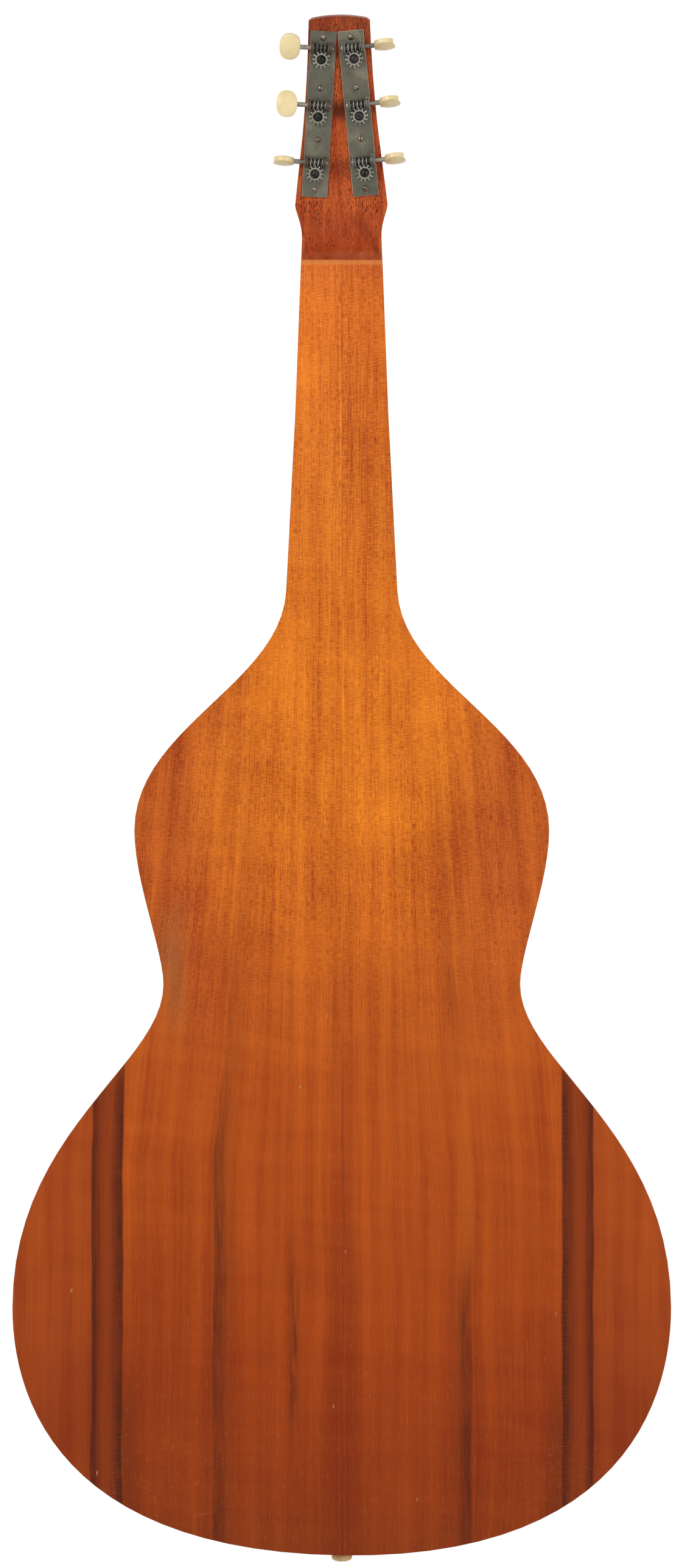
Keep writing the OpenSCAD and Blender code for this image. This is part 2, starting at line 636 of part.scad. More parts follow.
// Which plate a tuner is on, and its place from the top
function plate_of(n) = n <= 3 ? 0 : 1;
function place_of(n) = (n - 1) % 3;
module on_worm(n) on_plate(plate_of(n))
    translate([worm_mid, worm_y, worm_up(place_of(n))]) rotate([0, 90, 0]) children();
module on_post(n) on_plate(plate_of(n))
    translate([worm_mid, 0, gear_up(place_of(n))]) rotate([90, 0, 0]) children();

// The worm's cross section, whose radius swings once from root to crest
worm_body_l = worm_l - 2 * end_gap;
slice_turn = 32;                              // turn of the thread from slice to slice, at most
thread_share = [0, 0.13, 0.245, 0.305, 0.365, 0.425, 0.5, 0.575, 0.635, 0.695, 0.755, 0.87];
function thread_r(share) =
    let (away = abs(share - 0.5))
    away > 0.24 ? worm_root_r : away < 0.14 ? worm_r :
    worm_root_r + (worm_r - worm_root_r) * (0.24 - away) / 0.1;
// The thread starts so that its gap faces the gear at mid-length. The worms of the two plates have
// the same hand, so the one on the mirrored plate is mirrored back.
thread_twist = 360 * worm_body_l / worm_pitch;
module worm_thread(n) mirror([0, plate_of(n) == 0 ? 1 : 0, 0])
    translate([0, 0, -worm_body_l / 2])
        linear_extrude(worm_body_l, twist = thread_twist, slices = ceil(thread_twist / slice_turn))
            polygon([for (s = thread_share) turned([thread_r(s), 0], 360 * s + thread_twist / 2)]);
worm_in = worm_l / 2 + ear_t + 0.8;           // the shaft's inner end
worm_out = worm_l / 2 + ear_t + shaft_out;    // where the button starts
button_grip = 8;                              // length of the shaft in the button
module worm_shaft(n) color([0.3, 0.28, 0.27]) on_worm(n) {
    worm_thread(n);
    translate([0, 0, -worm_in]) cylinder(h = worm_in - worm_body_l / 2, r = shaft_r, $fn = 48);
    translate([0, 0, worm_body_l / 2])
        cylinder(h = worm_out + button_grip - worm_body_l / 2, r = shaft_r, $fn = 48);
}
button_dome = 19;                             // radius of a button's domed faces
button_oval = [for (a = [0:7.5:352.5])
    [button_w / 2 * sign(cos(a)) * pow(abs(cos(a)), 0.86),
     button_l / 2 * (1 + sign(sin(a)) * pow(abs(sin(a)), 0.86))]];
module button(n) color([0.93, 0.85, 0.66]) on_worm(n) translate([0, 0, worm_out])
    rotate([0, 0, button_turn[n - 1]]) difference() {
        intersection() {
            rotate([90, 0, 0]) linear_extrude(button_t, center = true) polygon(button_oval);
            button_domes();
        }
        translate([0, 0, -1]) cylinder(h = button_grip + 1, r = shaft_r, $fn = 48);
    }
module button_domes() intersection() {
    translate([0, button_dome - button_t / 2, button_l / 2]) sphere(r = button_dome, $fn = 96);
    translate([0, button_t / 2 - button_dome, button_l / 2]) sphere(r = button_dome, $fn = 96);
}

// The gear's teeth taper from root to tip, and the first one points at the worm
tooth_root_w = 1.5;
tooth_tip_w = 0.6;
hub_r = 2.2;
module gear(n) color([0.6, 0.59, 0.52]) on_post(n)
    translate([0, 0, -plate_back + gear_low]) difference() {
        linear_extrude(gear_t) union() {
            circle(r = gear_root_r, $fn = 48);
            for (i = [0:gear_teeth - 1]) rotate(360 / gear_teeth * i + 90)
                polygon([[0, -tooth_root_w / 2], [gear_root_r, -tooth_root_w / 2],
                         [gear_tip_r, -tooth_tip_w / 2], [gear_tip_r, tooth_tip_w / 2],
                         [gear_root_r, tooth_root_w / 2], [0, tooth_root_w / 2]]);
        }
        translate([0, 0, -1]) cylinder(h = gear_t + 2, r = hub_r, $fn = 48);
    }

post_low = -plate_back + gear_low;            // where the gear sits on the post
post_shoulder_r = 3.5;
gear_screw_r = 2.75;
gear_screw_h = 2;
gear_shank_r = 1.2;
gear_shank_l = 7;
module post(n) color([0.62, 0.62, 0.58]) on_post(n) difference() {
    union() {
        translate([0, 0, -post_out]) cylinder(h = post_out + post_low, r = post_r, $fn = 48);
        translate([0, 0, -plate_back + end_gap])
            cylinder(h = gear_low - end_gap, r = post_shoulder_r, $fn = 48);
        translate([0, 0, post_low]) cylinder(h = gear_t, r = hub_r, $fn = 48);
    }
    translate([0, 0, -post_out + 2.6]) rotate([90, 0, 0])
        cylinder(h = 3 * post_r, r = 0.9, center = true, $fn = 32);
    translate([0, 0, post_low + gear_t - gear_shank_l])
        cylinder(h = gear_shank_l + 1, r = gear_shank_r, $fn = 32);
}
module gear_screw(n) color([0.24, 0.24, 0.27]) on_post(n) translate([0, 0, post_low + gear_t]) {
    translate([0, 0, -gear_shank_l]) cylinder(h = gear_shank_l, r = gear_shank_r, $fn = 32);
    slotted_head(gear_screw_r, gear_screw_h, 0.7, slot_turn[n - 1]);
}

// ---- end pin ----

end_pin_y = (top_y + back_y(tail_z)) / 2;
end_pin_shank_r = 4;
end_pin_shank_l = 16;
end_pin_neck_r = 4.4;
end_pin_head_l = 6;
end_pin_neck_l = end_pin_l - end_pin_head_l;
module end_pin() color([0.85, 0.72, 0.48]) translate([0, end_pin_y, tail_z]) mirror([0, 0, 1]) {
    translate([0, 0, -end_pin_shank_l]) cylinder(h = end_pin_shank_l, r = end_pin_shank_r, $fn = 48);
    rotate_extrude($fn = 64) polygon(concat(
        [[0, 0], [end_pin_neck_r + 0.8, 0], [end_pin_neck_r, 1.2]],
        [for (a = [-50:10:80]) [end_pin_d / 2 * pow(cos(a), 0.6),
                                end_pin_neck_l + end_pin_head_l / 2 * (1 + sin(a))]],
        [[0, end_pin_l]]));
}

// ---- strings ----

wind_start = 8.5;                             // height of a winding's first turn above the face
loop_rings = 24;
string_sides = 6;
// The tuner of each string, from bass to treble: the outer strings go to the lowest posts
tuner_of = [6, 5, 4, 1, 2, 3];
// A winding in its plate's frame: it comes up on the post's inner side and goes over the top
function winding(i) =
    let (n = tuner_of[i], k = plate_of(n), r = post_r + string_d[i] / 2 + 0.1,
         steps = turns * loop_rings, pitch = string_d[i] + turn_gap)
    [for (s = [0:steps]) let (a = 180 - 360 * s / loop_rings)
        from_plate(k, [worm_mid + r * cos(a), wind_start - pitch * s / loop_rings,
                       gear_up(place_of(n)) + r * sin(a)])];
function string_route(i) =
    let (x = string_x(i, bridge_spread), y = top_y + string_h,
         pin_z = saddle_z - pin_drop + pin_r - (string_d[i] + pin_slot_gap) / 2,
         xn = string_x(i, nut_spread))
    concat([[x, pin_low, pin_z], [x, top_y + bridge_h + string_d[i] / 2 + 0.2, pin_z],
            [x, y, saddle_z - saddle_t / 2 - 0.3], [x, y, saddle_z + saddle_t / 2 + 0.3],
            [xn, y, -0.3], [xn, y, nut_t + 0.3]],
           winding(i));
// A tube along a route, with its rings square to it
function tube_slopes(route) = [for (i = [0:len(route) - 1])
    unit(route[min(i + 1, len(route) - 1)] - route[max(i - 1, 0)])];
function square_to(v, slope) = unit(v - (v * slope) * slope);
function tube_sides(slopes, first) =
    [for (i = 0, v = square_to(first, slopes[0]); i < len(slopes);
          i = i + 1, v = i < len(slopes) ? square_to(v, slopes[i]) : v) v];
module tube(route, d) {
    slopes = tube_slopes(route);
    ups = tube_sides(slopes, [1, 0, 0]);
    rings = len(route);
    points = [for (i = [0:rings - 1], s = [0:string_sides - 1])
        let (a = 360 * s / string_sides)
        route[i] + d / 2 * (cos(a) * ups[i] + sin(a) * cross(slopes[i], ups[i]))];
    function at(i, s) = i * string_sides + s % string_sides;
    walls = [for (i = [0:rings - 2], s = [0:string_sides - 1])
        each [[at(i, s), at(i + 1, s), at(i + 1, s + 1)], [at(i, s), at(i + 1, s + 1), at(i, s + 1)]]];
    ends = [[for (s = [0:string_sides - 1]) at(0, s)],
            [for (s = [string_sides - 1:-1:0]) at(rings - 1, s)]];
    polyhedron(points, concat(walls, ends));
}
function least(v) = min([for (x = v) x]);
function winding_gap(i) =
    let (w = winding(i))
    least([for (s = [0:len(w) - 1 - loop_rings * 0.75])
        least([for (q = [s + loop_rings * 0.75:len(w) - 1]) norm(w[s] - w[q])])]) - string_d[i];
echo(least_gap_between_turns = least([for (i = [0:strings - 1]) winding_gap(i)]));

module wound_strings() color([0.55, 0.5, 0.42]) for (i = [0:3]) tube(string_route(i), string_d[i]);
module plain_strings() color([0.72, 0.72, 0.7]) for (i = [4:5]) tube(string_route(i), string_d[i]);

headstock();
nut();
fretboard();
fret_lines();
position_dots();
soundboard_bass();
soundboard_treble();
rosette();
back_bass();
back_treble();
side_bass();
side_treble();
tail_block();
end_pin();
bridge();
saddle();
bridge_pins();
bridge_plate();
front_linings();
back_linings();
soundboard_braces();
cross_braces();
back_braces();
seam_strip();
tuner_plate_bass();
tuner_plate_treble();
plate_screws();
post_ferrules();
for (n = [1:strings]) {
    worm_shaft(n);
    button(n);
    gear(n);
    gear_screw(n);
    post(n);
}
wound_strings();
plain_strings();
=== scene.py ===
"""The looks of the hollow-neck lap guitar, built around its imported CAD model.

It hangs head up in plain studio light: +Z up the neck, the back faces -Y. Everything is in metres.
"""

import json
import math

import bmesh
import bpy
from mathutils import Matrix, Vector


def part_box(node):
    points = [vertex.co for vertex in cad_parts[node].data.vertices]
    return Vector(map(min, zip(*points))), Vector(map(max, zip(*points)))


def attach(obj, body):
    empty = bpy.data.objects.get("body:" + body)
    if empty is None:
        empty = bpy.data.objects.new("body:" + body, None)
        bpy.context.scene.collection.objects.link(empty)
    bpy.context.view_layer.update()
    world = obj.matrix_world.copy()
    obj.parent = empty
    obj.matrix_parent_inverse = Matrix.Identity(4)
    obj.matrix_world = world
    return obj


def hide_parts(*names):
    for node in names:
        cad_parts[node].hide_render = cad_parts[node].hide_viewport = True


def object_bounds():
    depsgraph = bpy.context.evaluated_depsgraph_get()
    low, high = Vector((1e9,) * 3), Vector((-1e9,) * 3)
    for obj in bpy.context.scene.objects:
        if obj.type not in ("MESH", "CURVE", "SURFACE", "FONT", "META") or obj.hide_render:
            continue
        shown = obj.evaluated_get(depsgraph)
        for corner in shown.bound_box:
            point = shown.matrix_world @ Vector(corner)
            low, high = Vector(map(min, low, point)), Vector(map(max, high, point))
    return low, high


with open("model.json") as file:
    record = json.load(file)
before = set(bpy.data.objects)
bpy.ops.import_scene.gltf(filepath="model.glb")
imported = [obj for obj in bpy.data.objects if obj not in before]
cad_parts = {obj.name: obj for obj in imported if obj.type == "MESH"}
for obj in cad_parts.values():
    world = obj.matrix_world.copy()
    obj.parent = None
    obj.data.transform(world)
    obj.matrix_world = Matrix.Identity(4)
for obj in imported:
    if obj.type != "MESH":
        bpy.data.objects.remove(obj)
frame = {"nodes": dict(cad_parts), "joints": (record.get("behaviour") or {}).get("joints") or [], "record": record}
cad_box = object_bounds()
nodes = frame["nodes"]
joints = {j["name"]: j for j in frame["joints"]}
slots = {s["node"]: s["material_slot"] for s in frame["record"]["subparts"]}
body_of = {n: b for b, names in frame["record"]["behaviour"]["bodies"].items() for n in names}
MM = 0.001


# ---- materials, written as expressions ----


def colour(red, green, blue):
    """A display colour, 0 to 255, as the linear colour that nodes use."""
    linear = []
    for value in (red, green, blue):
        value /= 255
        linear.append(value / 12.92 if value <= 0.04045 else ((value + 0.055) / 1.055) ** 2.4)
    return (*linear, 1)


class Value:
    """A number that varies over the surface."""

    def __init__(self, tree, socket):
        self.tree = tree
        self.socket = socket

    def __add__(self, other):
        return self.tree.math("ADD", self, other)

    def __radd__(self, other):
        return self.tree.math("ADD", other, self)

    def __sub__(self, other):
        return self.tree.math("SUBTRACT", self, other)

    def __rsub__(self, other):
        return self.tree.math("SUBTRACT", other, self)

    def __mul__(self, other):
        return self.tree.math("MULTIPLY", self, other)

    def __abs__(self):
        return self.tree.math("ABSOLUTE", self)


MIX_FIRST, MIX_SECOND, MIX_RESULT = 6, 7, 2   # the colour sockets of a Mix node
DARKER_POWERS = (1, 2.0, 1.9)                 # how red, green and blue follow where wood is darker
LIGHTER_POWERS = (1, 1.35, 1.35)
WOOD_SHINE = 0.12                             # low, so the white room doesn't wash the wood out


class Tree:
    """A material's nodes. Settings are the shader's own values."""

    def __init__(self, name, **settings):
        self.material = bpy.data.materials.new(name)
        self.material.use_nodes = True
        self.nodes = self.material.node_tree.nodes
        self.links = self.material.node_tree.links
        self.nodes.clear()
        self.shader = self.nodes.new("ShaderNodeBsdfPrincipled")
        output = self.nodes.new("ShaderNodeOutputMaterial")
        self.links.new(self.shader.outputs[0], output.inputs[0])
        for setting, value in settings.items():
            self.shader.inputs[setting.replace("_", " ")].default_value = value
        place = self.nodes.new("ShaderNodeTexCoord").outputs["Object"]
        split = self.nodes.new("ShaderNodeSeparateXYZ")
        self.links.new(place, split.inputs[0])
        self.x, self.y, self.z = (Value(self, split.outputs[i]) for i in range(3))

    def put(self, socket, value):
        """Links a varying value to a socket, or sets a constant one on it."""
        if isinstance(value, Value):
            self.links.new(value.socket, socket)
        elif isinstance(value, bpy.types.NodeSocket):
            self.links.new(value, socket)
        elif socket.type == "VECTOR":
            socket.default_value = value[:3]
        else:
            socket.default_value = value

    def math(self, operation, *values):
        """A Math node on numbers or varying values."""
        node = self.nodes.new("ShaderNodeMath")
        node.operation = operation
        for socket, value in zip(node.inputs, values):
            self.put(socket, value)
        return Value(self, node.outputs[0])

    def smooth(self, value, start, end):
        """0 before start, 1 after end, and smooth between."""
        node = self.nodes.new("ShaderNodeMapRange")
        node.interpolation_type = "SMOOTHSTEP"
        self.put(node.inputs["Value"], value)
        node.inputs["From Min"].default_value = min(start, end)
        node.inputs["From Max"].default_value = max(start, end)
        node.inputs["To Min"].default_value = 0 if start < end else 1
        node.inputs["To Max"].default_value = 1 if start < end else 0
        return Value(self, node.outputs["Result"])

    def band(self, value, centre, half, soft):
        """1 within half of the centre, fading to 0 over soft."""
        return self.smooth(abs(value - centre), half + soft, half)

    def joined(self, x, y, z):
        """Three values as one vector."""
        node = self.nodes.new("ShaderNodeCombineXYZ")
        for socket, value in zip(node.inputs, (x, y, z)):
            self.put(socket, value)
        return node.outputs[0]

    def noise(self, x, y, z, detail, rough=0.5):
        """Cloudy noise, about 0.5, whose features are about 1 wide in the values given."""
        node = self.nodes.new("ShaderNodeTexNoise")
        self.put(node.inputs["Vector"], self.joined(x, y, z))
        node.inputs["Scale"].default_value = 1
        node.inputs["Detail"].default_value = detail
        node.inputs["Roughness"].default_value = rough
        return Value(self, node.outputs[0])

    def cloud(self, scale, detail, rough=0.5):
        """Noise that is alike in all directions."""
        return self.noise(self.x * scale, self.y * scale, self.z * scale, detail, rough)

    def cells(self, x, y, z):
        """How far a point is from the edges of irregular cells about 1 wide."""
        node = self.nodes.new("ShaderNodeTexVoronoi")
        node.feature = "DISTANCE_TO_EDGE"
        self.put(node.inputs["Vector"], self.joined(x, y, z))
        node.inputs["Scale"].default_value = 1
        return Value(self, node.outputs[0])

    def ramp(self, value, *stops):
        """A colour for a value, eased between stops, which are positions with their colours."""
        node = self.nodes.new("ShaderNodeValToRGB")
        node.color_ramp.interpolation = "EASE"
        elements = node.color_ramp.elements
        while len(elements) < len(stops):
            elements.new(0.5)
        for element, (position, tone) in zip(elements, stops):
            element.position = position
            element.color = tone
        self.put(node.inputs[0], value)
        return node.outputs[0]

    def mix(self, amount, first, second):
        """The first colour at 0 and the second at 1."""
        node = self.nodes.new("ShaderNodeMix")
        node.data_type = "RGBA"
        self.put(node.inputs[0], amount)
        self.put(node.inputs[MIX_FIRST], first)
        self.put(node.inputs[MIX_SECOND], second)
        return node.outputs[MIX_RESULT]

    def shade(self, tone, factor):
        """A colour made lighter or darker by a factor."""
        node = self.nodes.new("ShaderNodeVectorMath")
        node.operation = "SCALE"
        self.put(node.inputs[0], tone)
        self.put(node.inputs["Scale"], factor)
        return node.outputs[0]

    def aged(self, tone, factor):
        """A wood's colour made lighter or darker by a factor, and redder where darker."""
        darker = self.math("MINIMUM", factor, 1)
        lighter = self.math("MAXIMUM", factor, 1)
        channels = [self.math("POWER", darker, down) * self.math("POWER", lighter, up)
                    for down, up in zip(DARKER_POWERS, LIGHTER_POWERS)]
        node = self.nodes.new("ShaderNodeVectorMath")
        node.operation = "MULTIPLY"
        self.put(node.inputs[0], tone)
        self.put(node.inputs[1], self.joined(*channels))
        return node.outputs[0]

    def from_axis(self, point, direction):
        """How far a point is from a line."""
        x, y, z = (here - there for here, there in zip((self.x, self.y, self.z), point))
        along = x * direction[0] + y * direction[1] + z * direction[2]
        return self.math("SQRT", self.math("MAXIMUM", x * x + y * y + z * z - along * along, 0))

    def finish(self, tone, roughness=None, height=None, depth=0):
        """The material, with its colour, roughness and relief of the given depth in metres."""
        self.put(self.shader.inputs["Base Color"], tone)
        if roughness is not None:
            self.put(self.shader.inputs["Roughness"], roughness)
        if height is not None:
            bump = self.nodes.new("ShaderNodeBump")
            bump.inputs["Strength"].default_value = 1
            bump.inputs["Distance"].default_value = depth
            self.put(bump.inputs["Height"], height)
            self.links.new(bump.outputs[0], self.shader.inputs["Normal"])
        return self.material


SEAM = 0.0005                                 # where the two halves meet, across the guitar
BACK_LOW, BACK_HIGH = -0.82, -0.01            # the tail and the nut


def up_the_back(z):
    """0 at the tail and 1 at the nut."""
    return (z - BACK_LOW) * (1 / (BACK_HIGH - BACK_LOW))


# colours up the back, from tail to nut: partly the wood's own colour and partly painted shade, darker towards the
# tail
PLATE_TONES = (
    (0.0, colour(136, 54, 14)), (0.1, colour(147, 56, 12)), (0.15, colour(155, 60, 13)),
    (0.21, colour(165, 67, 15)), (0.28, colour(174, 74, 17)), (0.36, colour(185, 82, 21)),
    (0.43, colour(194, 91, 24)), (0.51, colour(212, 107, 27)), (0.58, colour(224, 120, 29)),
    (0.66, colour(227, 122, 30)), (0.73, colour(219, 115, 30)), (0.8, colour(224, 120, 35)),
    (0.95, colour(226, 117, 36)), (1.0, colour(214, 107, 40)))
WAIST = (-0.56, -0.4)                         # where the look of the lower bout gives way
STRIP = (0.1328, 0.1527)                      # a dark strip's edges, out from the seam
# dings: across and up in mm, and how large
DINGS = ((-10, -482, 0.9), (-25, -523, 1.2), (2, -624, 0.9), (-5, -717, 1.1),
         (46, -773, 1.0), (131, -660, 0.8), (-166, -650, 1.3), (-151, -762, 1.2))


class KoaPlate(Tree):
    """A bookmatched koa plate: how its grain runs and varies. Another seed is another piece of wood."""

    def __init__(self, name, seed):
        super().__init__(name, Specular_IOR_Level=WOOD_SHINE)
        x, z = self.x, self.z
        self.seed = seed
        self.beside = abs(x - SEAM)
        self.own = own = self.smooth(x, -0.002, 0.002)
        self.high = self.smooth(z, *WAIST)
        self.low = 1 - self.high
        self.sway = self.noise(x * 5, own * 3 + seed, z * 3.2, 1) - 0.5
        ripple = self.noise(x * 24, own * 3 + seed, z * 13, 2) - 0.5
        self.lean = self.math("MAXIMUM", z + 0.57, 0) * self.smooth(self.beside, 0.01, 0.08) * 0.09
        self.grain = self.beside + self.lean + self.sway * 0.007 + ripple * 0.0035
        self.broad = self.noise(self.grain * 125, seed + 2, z * 2.1, 3, 0.55) - 0.5
        self.fine = self.noise(self.grain * 1000, seed + 3, z * 16, 3, 0.65) - 0.5
        self.hair = self.noise(x * 2600, seed + 4, z * 60, 2, 0.6) - 0.5
        self.curl = self.noise(x * 14, seed + 5, z * 75 + x * 10, 3, 0.6) - 0.5
        self.glow = self.noise(self.beside * 24 + self.sway, seed + own * 2, z * 10, 2) - 0.5

    def ground(self):
        """Golden in the neck, red brown in the lower bout, and darker and redder away from the seam above the
        waist. Partly the wood's own colour and partly painted shade: darker towards the tail and the outer edges,
        where less light falls.
        """
        x, z = self.x, self.z
        drift = (self.noise(x * 9, z * 5, self.seed + 1, 2) - 0.5) * 0.06
        tone = self.ramp(up_the_back(z + drift), *PLATE_TONES)
        spread = (self.noise(x * 14, z * 6, self.seed + 9, 2) - 0.5) * 0.06
        # partly painted shade: darker and redder towards the outer edges above the waist
        outer = self.smooth(self.beside + spread, 0.045, 0.105)
        return self.mix(outer * self.high * 0.85, tone, colour(188, 86, 29))

    def grained(self, tone):
        """Light and dark along the grain. Near the neck the two halves catch the light differently."""
        high = self.high
        turn = (self.own - 0.5) * self.smooth(self.z, -0.33, -0.2) * -0.11
        fleck = self.noise(self.x * 260, self.seed + 6, self.z * 1500, 1) - 0.5
        light = 1.03 + turn + self.broad * (0.85 - high * 0.1)
        light = light + self.fine * (0.36 + high * 0.4) + self.hair * (0.26 + high * 0.4) + self.curl * 0.32
        light = light + fleck * (high * 0.75 + 0.06) + self.glow * (0.35 + high * 0.35)
        paler = self.band(self.beside, 0.047, 0.005, 0.016) * self.smooth(self.z, -0.56, -0.7)
        return self.aged(tone, light + paler * 0.16)

    def pored(self, tone):
        """Short dark strokes along the grain, thickest in some streaks, and pale filler low down."""
        x, z, high, seed = self.x, self.z, self.high, self.seed
        streaky = self.smooth(self.noise(self.grain * 80, seed + 7, z * 9, 3, 0.6), 0.38, 0.6)
        strokes = self.noise(x * 2900 + self.sway * 9, seed + 8, z * 210, 1)
        longer = self.noise(self.grain * 2100, seed + 12, z * 42, 1)
        pores = self.smooth(strokes, 0.53, 0.66) * (streaky * (0.18 + high * 0.5) + high * 0.14)
        self.pores = pores + self.smooth(longer, 0.58, 0.68) * streaky * (0.18 + high * 0.3)
        tone = self.mix(self.math("MINIMUM", self.pores, 0.9), tone, self.aged(tone, 0.58))
        filled = self.smooth(self.noise(x * 1500, seed + 13, z * 130, 1), 0.62, 0.7)
        return self.mix(filled * self.low * 0.14, tone, colour(214, 128, 76))

    def stripped(self, tone):
        """Below the waist, a dark strip on each side and paler wood beyond it."""
        z = self.z
        self.edge = self.noise(self.beside * 4, self.own * 9, z * 14, 2) - 0.5
        self.below = self.smooth(z, -0.49, -0.53)
        self.near = near = self.beside + self.edge * 0.005
        strip = self.smooth(near, STRIP[0], 0.1342) * self.smooth(near, STRIP[1], 0.1521) * self.below
        dark = self.aged(colour(126, 48, 13), 1 + self.broad * 1.3 + self.fine * 0.8)
        tone = self.mix(strip * 0.8, tone, dark)
        beyond = self.smooth(near, 0.151, 0.153) * self.below
        paler = self.mix(self.smooth(z, -0.6, -0.75), colour(170, 73, 23), colour(148, 59, 19))
        light = 1 + self.broad * 0.65 + self.fine * 0.4 + self.glow * 0.5 + self.curl * 0.2
        return self.mix(beyond * 0.75, tone, self.aged(paler, light))

    def lined(self, tone):
        """Dark lines: along the strips, a long streak on each side, a broken one, and the seam."""
        x, z, beside, own, edge, near = self.x, self.z, self.beside, self.own, self.edge, self.near
        self.patchy = patchy = self.smooth(self.noise(beside * 60, own * 5, z * 11, 2), 0.3, 0.6)
        ragged = self.smooth(self.noise(beside * 500, own * 5, z * 40, 2), 0.35, 0.65)
        comb = 0.75 + self.smooth(self.noise(beside * 120, own * 5, z * 700, 1), 0.4, 0.6) * 0.25
        inner = self.smooth(near, STRIP[0], 0.134) * self.smooth(near, 0.1415, 0.1345) * comb
        outer = self.smooth(near, 0.146, 0.1519) * self.smooth(near, STRIP[1], 0.1521)
        lines = inner * (0.52 + patchy * 0.2 + ragged * 0.22) + outer * (0.44 + ragged * 0.32)
        lines = lines * self.below
        lines = lines + self.band(near, 0.129, 0.002, 0.005) * self.smooth(z, -0.67, -0.73) * 0.28
        by_streak = beside + self.lean + edge * 0.006
        streak = self.smooth(by_streak, 0.064, 0.0765) * self.smooth(by_streak, 0.0795, 0.0775)
        streak = streak * self.smooth(z, -0.25, -0.66) * (0.24 + patchy * 0.22 + ragged * 0.24)
        streak = streak * (1 - own * self.band(z, -0.56, 0.05, 0.06) * 0.8)
        broken = self.band(x + edge * 0.012, -0.0295, 0.0006, 0.0048) * (0.25 + ragged * 0.75)
        broken = broken * self.band(z, -0.69, 0.035, 0.06) * (0.2 + patchy * 0.8) * 0.62
        seam = self.band(x, SEAM, 0.0001, 0.0004) * (0.12 + self.low * 0.3)
        amount = self.math("MINIMUM", lines + streak + broken + seam, 0.85)
        tone = self.mix(amount, tone, self.mix(self.high, colour(66, 24, 9), colour(120, 44, 14)))
        pale = self.band(x + edge * 0.006, 0.0765, 0.001, 0.006) * self.band(z, -0.52, 0.07, 0.07)
        return self.mix(pale * 0.25, tone, colour(214, 112, 36))

    def marked(self, tone):
        """A grey haze by the waist, crazed lacquer low down, a few dings, and a painted highlight along the
        rounded top edge.
        """
        x, z, edge = self.x, self.z, self.edge
        haze = self.band(x, -0.103, 0.0, 0.016) * self.band(z, -0.452, 0.004, 0.05)
        tone = self.mix(haze * 0.4 * self.patchy, tone, colour(140, 108, 66))
        crazed = self.smooth(self.cells(x * 70 + edge * 2, self.seed, z * 420 + edge * 5), 0.02, 0.0)
        left = self.band(x, -0.105, 0.03, 0.03) * self.band(z, -0.765, 0.02, 0.025)
        right = self.band(x, 0.132, 0.02, 0.03) * self.band(z, -0.755, 0.01, 0.03)
        tone = self.mix(crazed * (left + right) * 0.16, tone, colour(206, 128, 76))
        for across, up, size in DINGS:
            spot = self.band(x + edge * 0.01, across * MM, 0, size * 0.6 * MM)
            spot = spot * self.band(z + edge * 0.02, up * MM, 0, size * 1.5 * MM)
            tone = self.mix(spot * 0.75, tone, colour(196, 160, 110))
        # painted highlight: the back's rounded top end, paler where it catches the light
        top_edge_highlight = self.smooth(z, -0.0198, -0.0185)
        return self.mix(top_edge_highlight * 0.6, tone, colour(226, 140, 74))


def koa_plate(name, seed, marks=False):
    t = KoaPlate(name, seed)
    tone = t.pored(t.grained(t.ground()))
    if marks:
        tone = t.marked(t.lined(t.stripped(tone)))
    relief = t.fine * 0.25 + t.hair * 0.2 - t.pores * 0.6
    return t.finish(tone, 0.36 + t.broad * 0.12 + t.pores * 0.3, relief, 0.00006)


def koa_side(name):
    """Koa bent round the sides: the grain runs along them."""
    t = Tree(name, Specular_IOR_Level=WOOD_SHINE)
    y, z = t.y, t.z
    sway = t.noise(t.x * 4, y * 8, z * 4, 1) - 0.5
    across = y + sway * 0.004
    drift = (t.noise(t.x * 8, y * 20, z * 6, 2) - 0.5) * 0.1
    tone = t.ramp(
        up_the_back(z + drift),
        (0.0, colour(146, 60, 22)), (0.35, colour(164, 72, 24)), (0.6, colour(190, 92, 32)),
        (1.0, colour(186, 88, 34)))
    broad = t.noise(t.x * 2.2, across * 150, z * 2.2, 3) - 0.5
    fine = t.noise(t.x * 12, across * 1100, z * 12, 2) - 0.5
    curl = t.noise(t.x * 60, across * 20, z * 60, 1) - 0.5
    tone = t.aged(tone, 1 + broad * 0.9 + fine * 0.5 + curl * 0.3)
    strokes = t.noise(t.x * 150, y * 2300, z * 150, 0)
    pores = t.smooth(strokes, 0.64, 0.74) * 0.42
    tone = t.mix(pores, tone, colour(84, 34, 14))
    return t.finish(tone, 0.38 + broad * 0.1 + pores * 0.3, fine * 0.3 - pores * 0.6, 0.00006)


